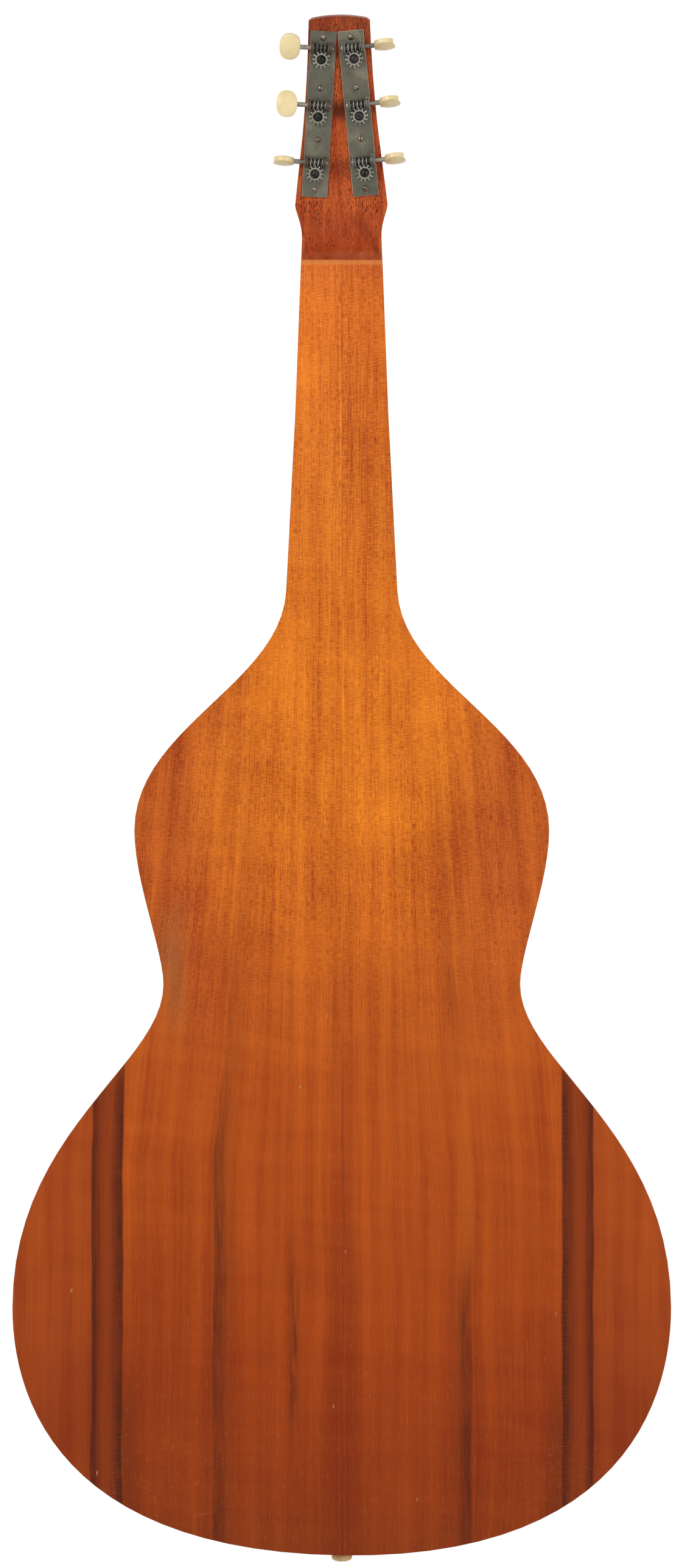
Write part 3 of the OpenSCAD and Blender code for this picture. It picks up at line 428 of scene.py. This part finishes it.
def koa_head(name):
    """The headstock and heel: darker, with long open pores above and dots on the slope."""
    t = Tree(name, Specular_IOR_Level=WOOD_SHINE)
    x, y, z = t.x, t.y, t.z
    sway = t.noise(x * 12, y * 6, z * 5, 1) - 0.5
    across = x + sway * 0.004 - z * 0.02
    level = (z + (t.noise(x * 30, y * 10, z * 16, 2) - 0.5) * 0.03 + 0.06) * 5
    tone = t.ramp(
        level,
        (0.0, colour(184, 84, 38)), (0.22, colour(180, 78, 33)), (0.27, colour(170, 69, 29)),
        (0.42, colour(202, 93, 42)), (0.7, colour(186, 82, 36)), (1.0, colour(154, 67, 35)))
    broad = t.noise(across * 220, y * 60, z * 7, 3, 0.6) - 0.5
    fine = t.noise(across * 1200, y * 500, z * 22, 2, 0.6) - 0.5
    patch = t.noise(x * 60, y * 30, z * 40, 2) - 0.5
    tone = t.aged(tone, 1 + broad * 1.1 + fine * 0.8 + patch * 0.4)
    slope = t.smooth(z, 0.017, 0.008)
    thick = t.smooth(t.noise(across * 150, y * 60, z * 18, 2), 0.34, 0.6)
    long_pores = t.smooth(t.noise(across * 2000, y * 1900, z * 85, 1), 0.5, 0.64) * (1 - slope)
    dots = t.smooth(t.noise(x * 1500, y * 400, z * 620, 2, 0.6), 0.55, 0.66) * slope
    pores = long_pores * (0.4 + thick * 0.5) + dots * 0.6
    tone = t.mix(pores, tone, colour(66, 22, 12))
    figure = t.noise(across * 90 + z * 60, 3, z * 30, 2)
    tone = t.mix(t.smooth(figure, 0.55, 0.7) * slope * 0.4, tone, colour(92, 34, 18))
    # painted shade: the headstock's back darker towards its sides, beside the plates
    side_shade = t.smooth(abs(x), 0.02, 0.027) * t.smooth(z, 0.03, 0.045)
    tone = t.mix(side_shade * 0.35, tone, colour(96, 34, 20))
    # painted shade between the plates, and a painted pale sheen where the slope ends and faces up into the light
    shade_rows = t.band(z, 0.0765, 0.001, 0.008) + t.band(z, 0.042, 0.001, 0.009) * 0.5
    shade_between_plates = t.band(x, 0.0, 0.002, 0.007) * shade_rows
    tone = t.mix(shade_between_plates * 0.75, tone, colour(48, 18, 12))
    slope_sheen = t.band(z, -0.0125, 0.0012, 0.003) * t.smooth(t.noise(x * 90, 2, z * 30, 1), 0.2, 0.8)
    tone = t.mix(slope_sheen * 0.5, tone, colour(196, 112, 84))
    return t.finish(tone, 0.4 + pores * 0.3, fine * 0.3 - pores, 0.00008)


def plain_wood(name, light, dark, along="z", pore=0.25, gloss=0.5):
    """Straight-grained wood, oiled or raw."""
    t = Tree(name, Specular_IOR_Level=WOOD_SHINE)
    long, wide = (t.z, t.x) if along == "z" else (t.x, t.z)
    sway = t.noise(long * 5, wide * 9, t.y * 9, 1) - 0.5
    wide = wide + sway * 0.003
    broad = t.noise(wide * 260, t.y * 200, long * 6, 3)
    tone = t.ramp(broad, (0.3, dark), (0.7, light))
    fine = t.noise(wide * 1500, t.y * 900, long * 30, 1) - 0.5
    tone = t.shade(tone, 1 + fine * 0.3)
    pores = t.smooth(t.noise(wide * 2600, t.y * 2000, long * 160, 0), 0.64, 0.74) * pore
    tone = t.mix(pores, tone, t.shade(dark, 0.4))
    return t.finish(tone, gloss + fine * 0.1, fine * 0.3 - pores, 0.00006)


def horn(name, light, warm, gloss=0.28):
    """Ivory-coloured plastic: faint grain, warmer in the hollows, and clouded by age."""
    t = Tree(name, Specular_IOR_Level=0.45, Subsurface_Weight=0.12, Subsurface_Scale=0.002)
    t.shader.inputs["Subsurface Radius"].default_value = (1.0, 0.7, 0.4)
    cloud = t.cloud(160, 3)
    tone = t.ramp(cloud, (0.3, warm), (0.62, light))
    lines = t.noise(t.x * 350, t.y * 350, t.z * 3500, 1) - 0.5
    tone = t.shade(tone, 1 + lines * 0.08)
    specks = t.smooth(t.cloud(900, 1), 0.72, 0.8)
    tone = t.mix(specks * 0.35, tone, colour(150, 96, 48))
    return t.finish(tone, gloss + cloud * 0.14, lines * 0.2 + cloud * 0.3, 0.00001)


def worn_metal(name, light, dark, rough, stain=None, metallic=0.9):
    """Plated metal that has gone dull in patches."""
    t = Tree(name, Metallic=metallic)
    patch = t.cloud(90, 4, 0.6)
    tone = t.ramp(patch, (0.32, dark), (0.68, light))
    grit = t.cloud(1400, 2) - 0.5
    tone = t.shade(tone, 1 + grit * 0.3)
    if stain is not None:
        spots = t.smooth(t.cloud(240, 3, 0.65), 0.56, 0.7)
        tone = t.mix(spots * 0.6, tone, stain)
    return t.finish(tone, rough + patch * 0.2 + grit * 0.1, grit * 0.5 + patch * 0.5, 0.00004)


HEAD_TILT = math.radians(12.5)                # how far the headstock leans back
HEAD_FACE = 0.01925                           # the headstock's face at the nut, along Y
EAR_FOOT, EAR_FLANK = 0.0172, 0.0176          # behind the headstock's face, where the plate's ears begin


def plate_metal(name, ear_tone):
    """A tuner plate: greenish grey tarnish on its face, and its ears in their own tone."""
    t = Tree(name, Metallic=0.75)
    patch = t.noise(t.x * 70, t.y * 70, t.z * 55, 4, 0.6)
    tone = t.ramp(patch, (0.3, colour(82, 80, 69)), (0.5, colour(97, 94, 82)), (0.7, colour(120, 116, 100)))
    grit = t.cloud(1500, 2) - 0.5
    tone = t.shade(tone, 1 + grit * 0.22)
    spots = t.smooth(t.noise(t.x * 300, t.y * 300, t.z * 260, 3, 0.7), 0.6, 0.7)
    tone = t.mix(spots * 0.5, tone, colour(62, 54, 44))
    behind = (t.y - HEAD_FACE) * -math.cos(HEAD_TILT) - t.z * math.sin(HEAD_TILT)
    ears = t.smooth(behind, EAR_FOOT, EAR_FLANK)
    rust = t.cloud(500, 3, 0.6)
    tone = t.mix(ears, tone, t.shade(ear_tone, 0.7 + rust * 0.6))
    return t.finish(tone, 0.44 + patch * 0.16 + ears * 0.12, grit * 0.4 + patch, 0.00004)


def pearl_shell(name):
    """Mother of pearl, pink and green by turns."""
    t = Tree(name, Coat_Weight=0.3, Coat_Roughness=0.1)
    swirl = t.cloud(500, 3, 0.6)
    tone = t.ramp(
        swirl, (0.3, colour(214, 206, 214)), (0.5, colour(236, 236, 226)), (0.7, colour(206, 222, 214)))
    return t.finish(tone, 0.25 + swirl * 0.1, swirl, 0.00002)


WIRE_PITCH = 0.00034                          # of a wound string's outer wire


def wound_wire(name):
    """A wound string: fine turns of bronze wire."""
    t = Tree(name, Metallic=1.0, Roughness=0.3)
    turns = t.math("SINE", (t.z + t.x * 0.1) * (2 * math.pi / WIRE_PITCH))
    age = t.noise(t.x * 200, t.y * 200, t.z * 60, 2)
    tone = t.ramp(age, (0.3, colour(150, 118, 74)), (0.7, colour(190, 160, 112)))
    return t.finish(t.shade(tone, 0.9 + turns * 0.1), None, turns, 0.00004)


finishes = {
    "back_koa": koa_plate("back_koa", 0, marks=True),
    "top_koa": koa_plate("top_koa", 40),
    "side_koa": koa_side("side_koa"),
    "heel_koa": koa_head("heel_koa"),
    "block_wood": plain_wood("block_wood", colour(176, 122, 78), colour(140, 92, 56), "x"),
    "lining_wood": plain_wood("lining_wood", colour(214, 180, 132), colour(186, 148, 102)),
    "brace_spruce": plain_wood("brace_spruce", colour(228, 202, 158), colour(202, 168, 118), "x", 0.1, 0.6),
    "dark_wood": plain_wood("dark_wood", colour(78, 48, 32), colour(48, 28, 20), "z", 0.4, 0.42),
    "pale_wood": plain_wood("pale_wood", colour(226, 198, 144), colour(198, 164, 110), "x", 0.1, 0.4),
    "bone": horn("bone", colour(236, 226, 200), colour(218, 202, 166), 0.3),
    "pearl": pearl_shell("pearl"),
    "ivoroid": horn("ivoroid", colour(248, 228, 176), colour(241, 217, 162)),
    "end_ivoroid": horn("end_ivoroid", colour(226, 194, 138), colour(198, 156, 98)),
    "plate_nickel": plate_metal("plate_nickel", colour(92, 92, 88)),
    "gear_nickel": worn_metal("gear_nickel", colour(186, 183, 168), colour(128, 126, 116), 0.3),
    "post_nickel": worn_metal("post_nickel", colour(206, 204, 196), colour(168, 166, 156), 0.18),
    "worm_steel": worn_metal("worm_steel", colour(84, 78, 70), colour(46, 42, 38), 0.34, colour(66, 44, 32)),
    "blued_steel": worn_metal("blued_steel", colour(60, 58, 56), colour(34, 33, 32), 0.28),
    "screw_brass": worn_metal("screw_brass", colour(160, 140, 122), colour(104, 86, 74), 0.3,
                              colour(84, 60, 50)),
    "wound_wire": wound_wire("wound_wire"),
    "plain_wire": worn_metal("plain_wire", colour(210, 210, 206), colour(176, 176, 172), 0.2),
}


def gear_metal(number):
    """A gear's nickel: dull in the middle, with a lighter ring by the screw and painted highlights on its teeth.
    """
    post = joints[f"post_turn_{number}"]
    t = Tree(f"gear_nickel_{number}", Metallic=0.8)
    patch = t.cloud(200, 3, 0.6)
    away = t.from_axis(post["pos_m"], post["axis"])
    tone = t.ramp(patch, (0.3, colour(84, 81, 73)), (0.7, colour(116, 113, 102)))
    # painted highlight: the teeth's ends made bright where they catch the light
    teeth_highlight = t.smooth(away + (patch - 0.5) * 0.001, 0.0044, 0.0056)
    tone = t.mix(teeth_highlight, tone, t.ramp(patch, (0.3, colour(200, 196, 178)), (0.7, colour(244, 240, 224))))
    ring = t.band(away, 0.0036, 0.0002, 0.0004)
    tone = t.mix(ring * 0.6, tone, colour(178, 174, 160))
    return t.finish(tone, 0.34 + patch * 0.1, patch, 0.00003)


rusty_plate = plate_metal("plate_rusty_ears", colour(92, 68, 60))
# painted highlight: the tuner plates' rounded edges, pale where they catch the light
plate_edge_highlight = worn_metal("plate_edge_highlight", colour(246, 242, 222), colour(206, 200, 172), 0.35, metallic=0.4)
# painted highlight: the screws' rounded edges and slot edges, paler where they catch the light
screw_rim = worn_metal("screw_rim", colour(176, 170, 158), colour(112, 106, 98), 0.26)
slot_shade = worn_metal("slot_shade", colour(30, 28, 27), colour(16, 15, 15), 0.6)
shaft_metal = worn_metal("shaft_metal", colour(156, 148, 136), colour(104, 97, 88), 0.28)
# painted highlight: the brighter metal of the worms' thread crests
worm_crest_highlight = worn_metal("worm_crest_highlight", colour(150, 148, 142), colour(96, 93, 88), 0.26)
# the rounded edges of back, sides and soundboard: some wear, and a painted highlight where the edges catch the
# light
edge_wear_and_highlight = plain_wood("edge_wear_and_highlight", colour(196, 110, 56), colour(150, 72, 34))

for name, node in nodes.items():
    node.data.materials.clear()
    node.data.materials.append(finishes[slots[name]])


# ---- pieces ----


def stand_for(piece, name):
    """The piece takes a CAD node's place, on its body."""
    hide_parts(name)
    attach(piece, body_of[name])


def new_piece(name, mesh, *materials):
    mesh.materials.clear()
    for material in materials:
        mesh.materials.append(material)
    piece = bpy.data.objects.new(name, mesh)
    bpy.context.scene.collection.objects.link(piece)
    return piece


WELD = 2e-6                                   # corners nearer than this are one
FLAT_BEND = math.radians(0.6)                 # faces that meet more flatly are one
ROUNDED_BEND = math.radians(32)               # edges that bend more are rounded
SHARP_BEND = math.radians(34)                 # and then shaded sharp
SHADE_SLOT = 2


def dressed(name, width, segments=2, material=None, edge=None, floor=None):
    """A CAD node's shape with its edges rounded by width in mm and its curves smooth.

    Edges may have their own material. Flats that face floor, a direction, are the bottoms of screw slots.
    """
    source = nodes[name].data
    shape = bmesh.new()
    corners = [shape.verts.new(v.co) for v in source.vertices]
    for face in source.polygons:
        shape.faces.new([corners[i] for i in face.vertices])
    bmesh.ops.remove_doubles(shape, verts=shape.verts[:], dist=WELD)
    bmesh.ops.dissolve_limit(shape, angle_limit=FLAT_BEND, verts=shape.verts[:], edges=shape.edges[:])
    bmesh.ops.recalc_face_normals(shape, faces=shape.faces[:])
    mesh = bpy.data.meshes.new("look_" + name)
    shape.to_mesh(mesh)
    shape.free()
    material = material or finishes[slots[name]]
    piece = new_piece("look_" + name, mesh, material, edge or material)
    if width:
        bevel = piece.modifiers.new("edges", "BEVEL")
        bevel.width = width * MM
        bevel.segments = segments
        bevel.limit_method = "ANGLE"
        bevel.angle_limit = ROUNDED_BEND
        bevel.use_clamp_overlap = True
        bevel.material = 1 if edge else -1
    apply_modifiers(piece)
    if floor is not None:
        piece.data.materials.append(slot_shade)
        for face in piece.data.polygons:
            if face.normal.dot(floor) > 0.9998:
                face.material_index = SHADE_SLOT
    piece.data.shade_smooth()
    piece.data.set_sharp_from_angle(angle=SHARP_BEND)
    weigh = piece.modifiers.new("weigh", "WEIGHTED_NORMAL")
    weigh.keep_sharp = True
    apply_modifiers(piece)
    stand_for(piece, name)


def apply_modifiers(piece):
    """The piece's mesh becomes what its modifiers make of it."""
    evaluated = piece.evaluated_get(bpy.context.evaluated_depsgraph_get())
    mesh = bpy.data.meshes.new_from_object(evaluated)
    piece.modifiers.clear()
    piece.data = mesh


def from_rings(name, rings, *materials):
    """A tube-like mesh through rings of points, capped at both ends."""
    shape = bmesh.new()
    rows = [[shape.verts.new(p) for p in ring] for ring in rings]
    count = len(rings[0])
    for low, high in zip(rows, rows[1:]):
        for i in range(count):
            j = (i + 1) % count
            shape.faces.new((low[i], low[j], high[j], high[i]))
    shape.faces.new(rows[0][::-1])
    shape.faces.new(rows[-1])
    bmesh.ops.recalc_face_normals(shape, faces=shape.faces[:])
    mesh = bpy.data.meshes.new(name)
    shape.to_mesh(mesh)
    shape.free()
    piece = new_piece(name, mesh, *materials)
    piece.data.shade_smooth()
    piece.data.set_sharp_from_angle(angle=math.radians(45))
    return piece


class Tuner:
    """Where a tuner stands: out along its worm, forward out of the headstock's face, and up its plate."""

    def __init__(self, number):
        worm, post = joints[f"worm_turn_{number}"], joints[f"post_turn_{number}"]
        self.treble = number <= 3
        self.worm = Vector(worm["pos_m"])
        self.post = Vector(post["pos_m"])
        self.out = Vector(worm["axis"])
        self.forward = -Vector(post["axis"])
        self.up = self.out.cross(self.forward) * (-1 if self.treble else 1)

    def on_worm(self):
        """The worm's frame: Z out along it, Y forward."""
        matrix = Matrix.Identity(4)
        for column, vector in enumerate((-self.up, self.forward, self.out, self.worm)):
            for row in range(3):
                matrix[row][column] = vector[row]
        return matrix


for name, width in (("back", 0.55), ("side", 0.25), ("soundboard", 0.5)):
    for half in ("bass", "treble"):
        dressed(f"{name}_{half}", width, edge=edge_wear_and_highlight)
dressed("headstock", 0.7, 3)
dressed("fretboard", 0.4)
dressed("nut", 0.5)
dressed("saddle", 0.3)
dressed("bridge", 0.6, 3)
dressed("bridge_pins", 0.15)
dressed("end_pin", 0)
dressed("tuner_plate_treble", 0.3, material=rusty_plate, edge=plate_edge_highlight)
dressed("tuner_plate_bass", 0.3, edge=plate_edge_highlight)
head_back = -Tuner(1).forward
dressed("plate_screws", 0.12, edge=screw_rim, floor=head_back)
dressed("post_ferrules", 0.3, 3)
for n in range(1, 7):
    dressed(f"button_{n}", 0.8, 4)
    dressed(f"gear_{n}", 0.14, material=gear_metal(n))
    dressed(f"gear_screw_{n}", 0.14, edge=screw_rim, floor=head_back)
    dressed(f"post_{n}", 0.2)


# ---- worms and strings ----

# the worm's own measures, in mm
SHAFT_R, ROOT_R, CREST_R = 1.45, 1.6, 3.0
PITCH, THREAD_L = 2.35, 9.7
EAR_T, EAR_GAP = 1.8, 0.1
INNER_END = 0.8                               # the shaft's length past the inner ear
TO_BUTTON, IN_BUTTON = 6.5, 7.5               # its length from the outer ear, and inside the button
CHAMFER = 0.25
CREST_HALF, ROOT_FROM = 0.15, 0.27            # shares of the pitch, away from the crest's middle
RUNOUT = 0.55                                 # the thread's height at its ends, as a share
CREST_HIGHLIGHT_FROM = 2.72                            # the radius from which the crest is painted brighter, a painted highlight
WORM_SIDES, WORM_STEPS = 48, 110


def thread_radius(share):
    """The thread's radius at a share of its pitch, whose crest is at one half."""
    away = abs(share % 1 - 0.5)
    if away > ROOT_FROM:
        return ROOT_R
    if away < CREST_HALF:
        return CREST_R
    step = (ROOT_FROM - away) / (ROOT_FROM - CREST_HALF)
    return ROOT_R + (CREST_R - ROOT_R) * step * step * (3 - 2 * step)


def worm_ring(height, radii):
    """Points round the worm at a height, in metres, with a radius for each."""
    ring = []
    for i, radius in enumerate(radii):
        angle = 2 * math.pi * i / WORM_SIDES
        ring.append((MM * (radius * math.cos(angle)), MM * (radius * math.sin(angle)), MM * height))
    return ring


def worm(number):
    """A worm and its shaft. The worms of the two plates have opposite hands."""
    tuner = Tuner(number)
    hand = -1 if tuner.treble else 1
    inner = -(THREAD_L / 2 + EAR_GAP + EAR_T + INNER_END)
    outer = THREAD_L / 2 + EAR_GAP + EAR_T + TO_BUTTON + IN_BUTTON

    def plain(height, radius):
        return worm_ring(height, [radius] * WORM_SIDES)

    def threaded(height):
        ends = min(1, (THREAD_L / 2 - abs(height)) / CHAMFER)
        tall = RUNOUT + (1 - RUNOUT) * ends
        radii = [thread_radius(hand * i / WORM_SIDES + height / PITCH) for i in range(WORM_SIDES)]
        return worm_ring(height, [ROOT_R + (radius - ROOT_R) * tall for radius in radii])

    rings = [plain(inner, SHAFT_R - CHAMFER), plain(inner + CHAMFER, SHAFT_R), plain(-THREAD_L / 2, SHAFT_R)]
    rings += [threaded(THREAD_L * (k / WORM_STEPS - 0.5)) for k in range(WORM_STEPS + 1)]
    rings += [plain(THREAD_L / 2, SHAFT_R), plain(outer, SHAFT_R)]
    piece = from_rings(f"look_worm_shaft_{number}", rings, finishes["worm_steel"], worm_crest_highlight, shaft_metal)
    # painted highlight on the crests; the shaft past the thread takes its own metal
    for face in piece.data.polygons:
        if math.hypot(face.center.x, face.center.y) > CREST_HIGHLIGHT_FROM * MM:
            face.material_index = 1
        if abs(face.center.z) > (THREAD_L / 2 + EAR_GAP) * MM:
            face.material_index = 2
    piece.data.transform(tuner.on_worm())
    stand_for(piece, f"worm_shaft_{number}")


for n in range(1, 7):
    worm(n)

# the strings from bass to treble: their gauges in mm, and the tuners they go to
STRING_D = (1.42, 1.07, 0.81, 0.6, 0.43, 0.38)
TUNER_OF = (6, 5, 4, 1, 2, 3)
BRIDGE_SPREAD, NUT_SPREAD = 54, 42            # between the outer strings
STRING_H = 12.5                               # over the soundboard
PIN_TOP = 9                                   # where a string leaves its pin, over the soundboard
PIN_R, PIN_SLOT_GAP = 2.6, 0.3
POST_R, WINDING_GAP = 3.0, 0.1
TURNS, TURN_POINTS = 3, 48
WINDING_START = 8.5                           # forward of the post's place
TURN_GAP = 0.5                                # between turns


def string_route(i):
    """A string's way from its bridge pin over the saddle and the nut, and three turns up its post."""
    across = 0.5 - i / 5
    thick = STRING_D[i] * MM
    saddle_low, saddle_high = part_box("saddle")
    nut_low, nut_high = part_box("nut")
    pins_low, pins_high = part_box("bridge_pins")
    pin_z = (pins_low.z + pins_high.z) / 2 + PIN_R * MM - (thick + PIN_SLOT_GAP * MM) / 2
    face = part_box("soundboard_bass")[1].y
    height = face + STRING_H * MM
    x0, x1 = across * BRIDGE_SPREAD * MM, across * NUT_SPREAD * MM
    past = 0.3 * MM
    route = [
        Vector((x0, pins_low.y, pin_z)), Vector((x0, face + PIN_TOP * MM + thick / 2 + 0.2 * MM, pin_z)),
        Vector((x0, height, saddle_low.z - past)), Vector((x0, height, saddle_high.z + past)),
        Vector((x1, height, nut_low.z - past)), Vector((x1, height, nut_high.z + past))]
    tuner = Tuner(TUNER_OF[i])
    radius = POST_R * MM + thick / 2 + WINDING_GAP * MM
    rise = thick + TURN_GAP * MM
    for s in range(TURNS * TURN_POINTS + 1):
        angle = math.radians(180 - 360 / TURN_POINTS * s)
        round_post = tuner.out * (radius * math.cos(angle)) + tuner.up * (radius * math.sin(angle))
        forward = tuner.forward * (WINDING_START * MM - rise * s / TURN_POINTS)
        route.append(tuner.post + round_post + forward)
    return route


def tube(route, thick, sides=12):
    """Rings round a route, each square to it, with no twist."""
    angles = [2 * math.pi * s / sides for s in range(sides)]
    rings = []
    side = Vector((1, 0, 0))
    for i, point in enumerate(route):
        along = (route[min(i + 1, len(route) - 1)] - route[max(i - 1, 0)]).normalized()
        side = (side - side.dot(along) * along).normalized()
        other = along.cross(side)
        rings.append([point + thick / 2 * (math.cos(a) * side + math.sin(a) * other) for a in angles])
    return rings


def strings(name, numbers):
    """The strings of one CAD node, as one piece."""
    parts = [from_rings(f"string_{i}", tube(string_route(i), STRING_D[i] * MM), finishes[slots[name]])
             for i in numbers]
    shape = bmesh.new()
    for part in parts:
        shape.from_mesh(part.data)
        bpy.data.objects.remove(part)
    mesh = bpy.data.meshes.new("look_" + name)
    shape.to_mesh(mesh)
    shape.free()
    piece = new_piece("look_" + name, mesh, finishes[slots[name]])
    piece.data.shade_smooth()
    stand_for(piece, name)


strings("wound_strings", range(4))
strings("plain_strings", range(4, 6))


# ---- stage, light and camera ----


FLOOR_R, FLOOR_DROP = 0.45, 0.075
FADE = (0.2, 0.44)                            # the radii between which the floor fades out


def pale_floor():
    """A round pale floor under the guitar, which fades into the white."""
    t = Tree("floor", Roughness=0.7, Specular_IOR_Level=0.2)
    speck = t.noise(t.x * 40, t.y * 40, 0, 3) - 0.5
    material = t.finish(t.shade(colour(236, 235, 232), 1 + speck * 0.02))
    clear = t.nodes.new("ShaderNodeBsdfTransparent")
    blend = t.nodes.new("ShaderNodeMixShader")
    reach = t.math("SQRT", t.x * t.x + t.y * t.y)
    t.put(blend.inputs[0], t.smooth(reach, *FADE))
    t.links.new(t.shader.outputs[0], blend.inputs[1])
    t.links.new(clear.outputs[0], blend.inputs[2])
    output = [node for node in t.nodes if node.type == "OUTPUT_MATERIAL"][0]
    t.links.new(blend.outputs[0], output.inputs[0])
    shape = bmesh.new()
    bmesh.ops.create_circle(shape, cap_ends=True, radius=FLOOR_R, segments=96)
    mesh = bpy.data.meshes.new("floor")
    shape.to_mesh(mesh)
    shape.free()
    floor = new_piece("floor", mesh, material)
    floor.location.z = cad_box[0].z - FLOOR_DROP


pale_floor()

world = bpy.data.worlds.new("studio")
bpy.context.scene.world = world
world.use_nodes = True
world_nodes, world_links = world.node_tree.nodes, world.node_tree.links
world_nodes.clear()
paths = world_nodes.new("ShaderNodeLightPath")


def larger(first, second):
    node = world_nodes.new("ShaderNodeMath")
    node.operation = "MAXIMUM"
    world_links.new(first, node.inputs[0])
    world_links.new(second, node.inputs[1])
    return node.outputs[0]


# white where the camera, a reflection or a refraction sees it, and a soft grey light elsewhere
seen = larger(paths.outputs["Is Camera Ray"], paths.outputs["Is Glossy Ray"])
seen = larger(seen, paths.outputs["Is Transmission Ray"])
strength = world_nodes.new("ShaderNodeMapRange")
strength.inputs["To Min"].default_value = 0.5
strength.inputs["To Max"].default_value = 1.0
world_links.new(seen, strength.inputs["Value"])
background = world_nodes.new("ShaderNodeBackground")
background.inputs["Color"].default_value = (1, 1, 1, 1)
world_links.new(strength.outputs["Result"], background.inputs["Strength"])
world_output = world_nodes.new("ShaderNodeOutputWorld")
world_links.new(background.outputs[0], world_output.inputs[0])


MIDDLE = (0, 0, -0.34)


def lamp(name, place, size, power):
    """A round soft lamp that faces the middle of the guitar."""
    data = bpy.data.lights.new(name, "AREA")
    data.shape = "DISK"
    data.size = size
    data.energy = power
    light = bpy.data.objects.new(name, data)
    bpy.context.scene.collection.objects.link(light)
    light.location = place
    light.rotation_euler = (Vector(MIDDLE) - Vector(place)).to_track_quat("-Z", "Y").to_euler()


lamp("key", (-1.5, -2.3, 0.9), 1.3, 29)
lamp("fill", (1.7, -2.2, -0.2), 1.6, 16)
lamp("front_key", (1.6, 2.2, 0.8), 1.3, 27)
lamp("front_fill", (-1.7, 2.3, -0.3), 1.6, 16)

VIEW_HALF, VIEW_AWAY = 0.483, 3.0             # half the picture's height, at this distance

camera_data = bpy.data.cameras.new("camera")
camera_data.sensor_fit = "VERTICAL"
camera_data.angle_y = 2 * math.atan(VIEW_HALF / VIEW_AWAY)
camera = bpy.data.objects.new("camera", camera_data)
bpy.context.scene.collection.objects.link(camera)
camera.location = (0.00075, -3.015, -0.3386)
camera.rotation_euler = (math.radians(90), 0, 0)
bpy.context.scene.camera = camera
bpy.context.scene.view_settings.view_transform = "Standard"
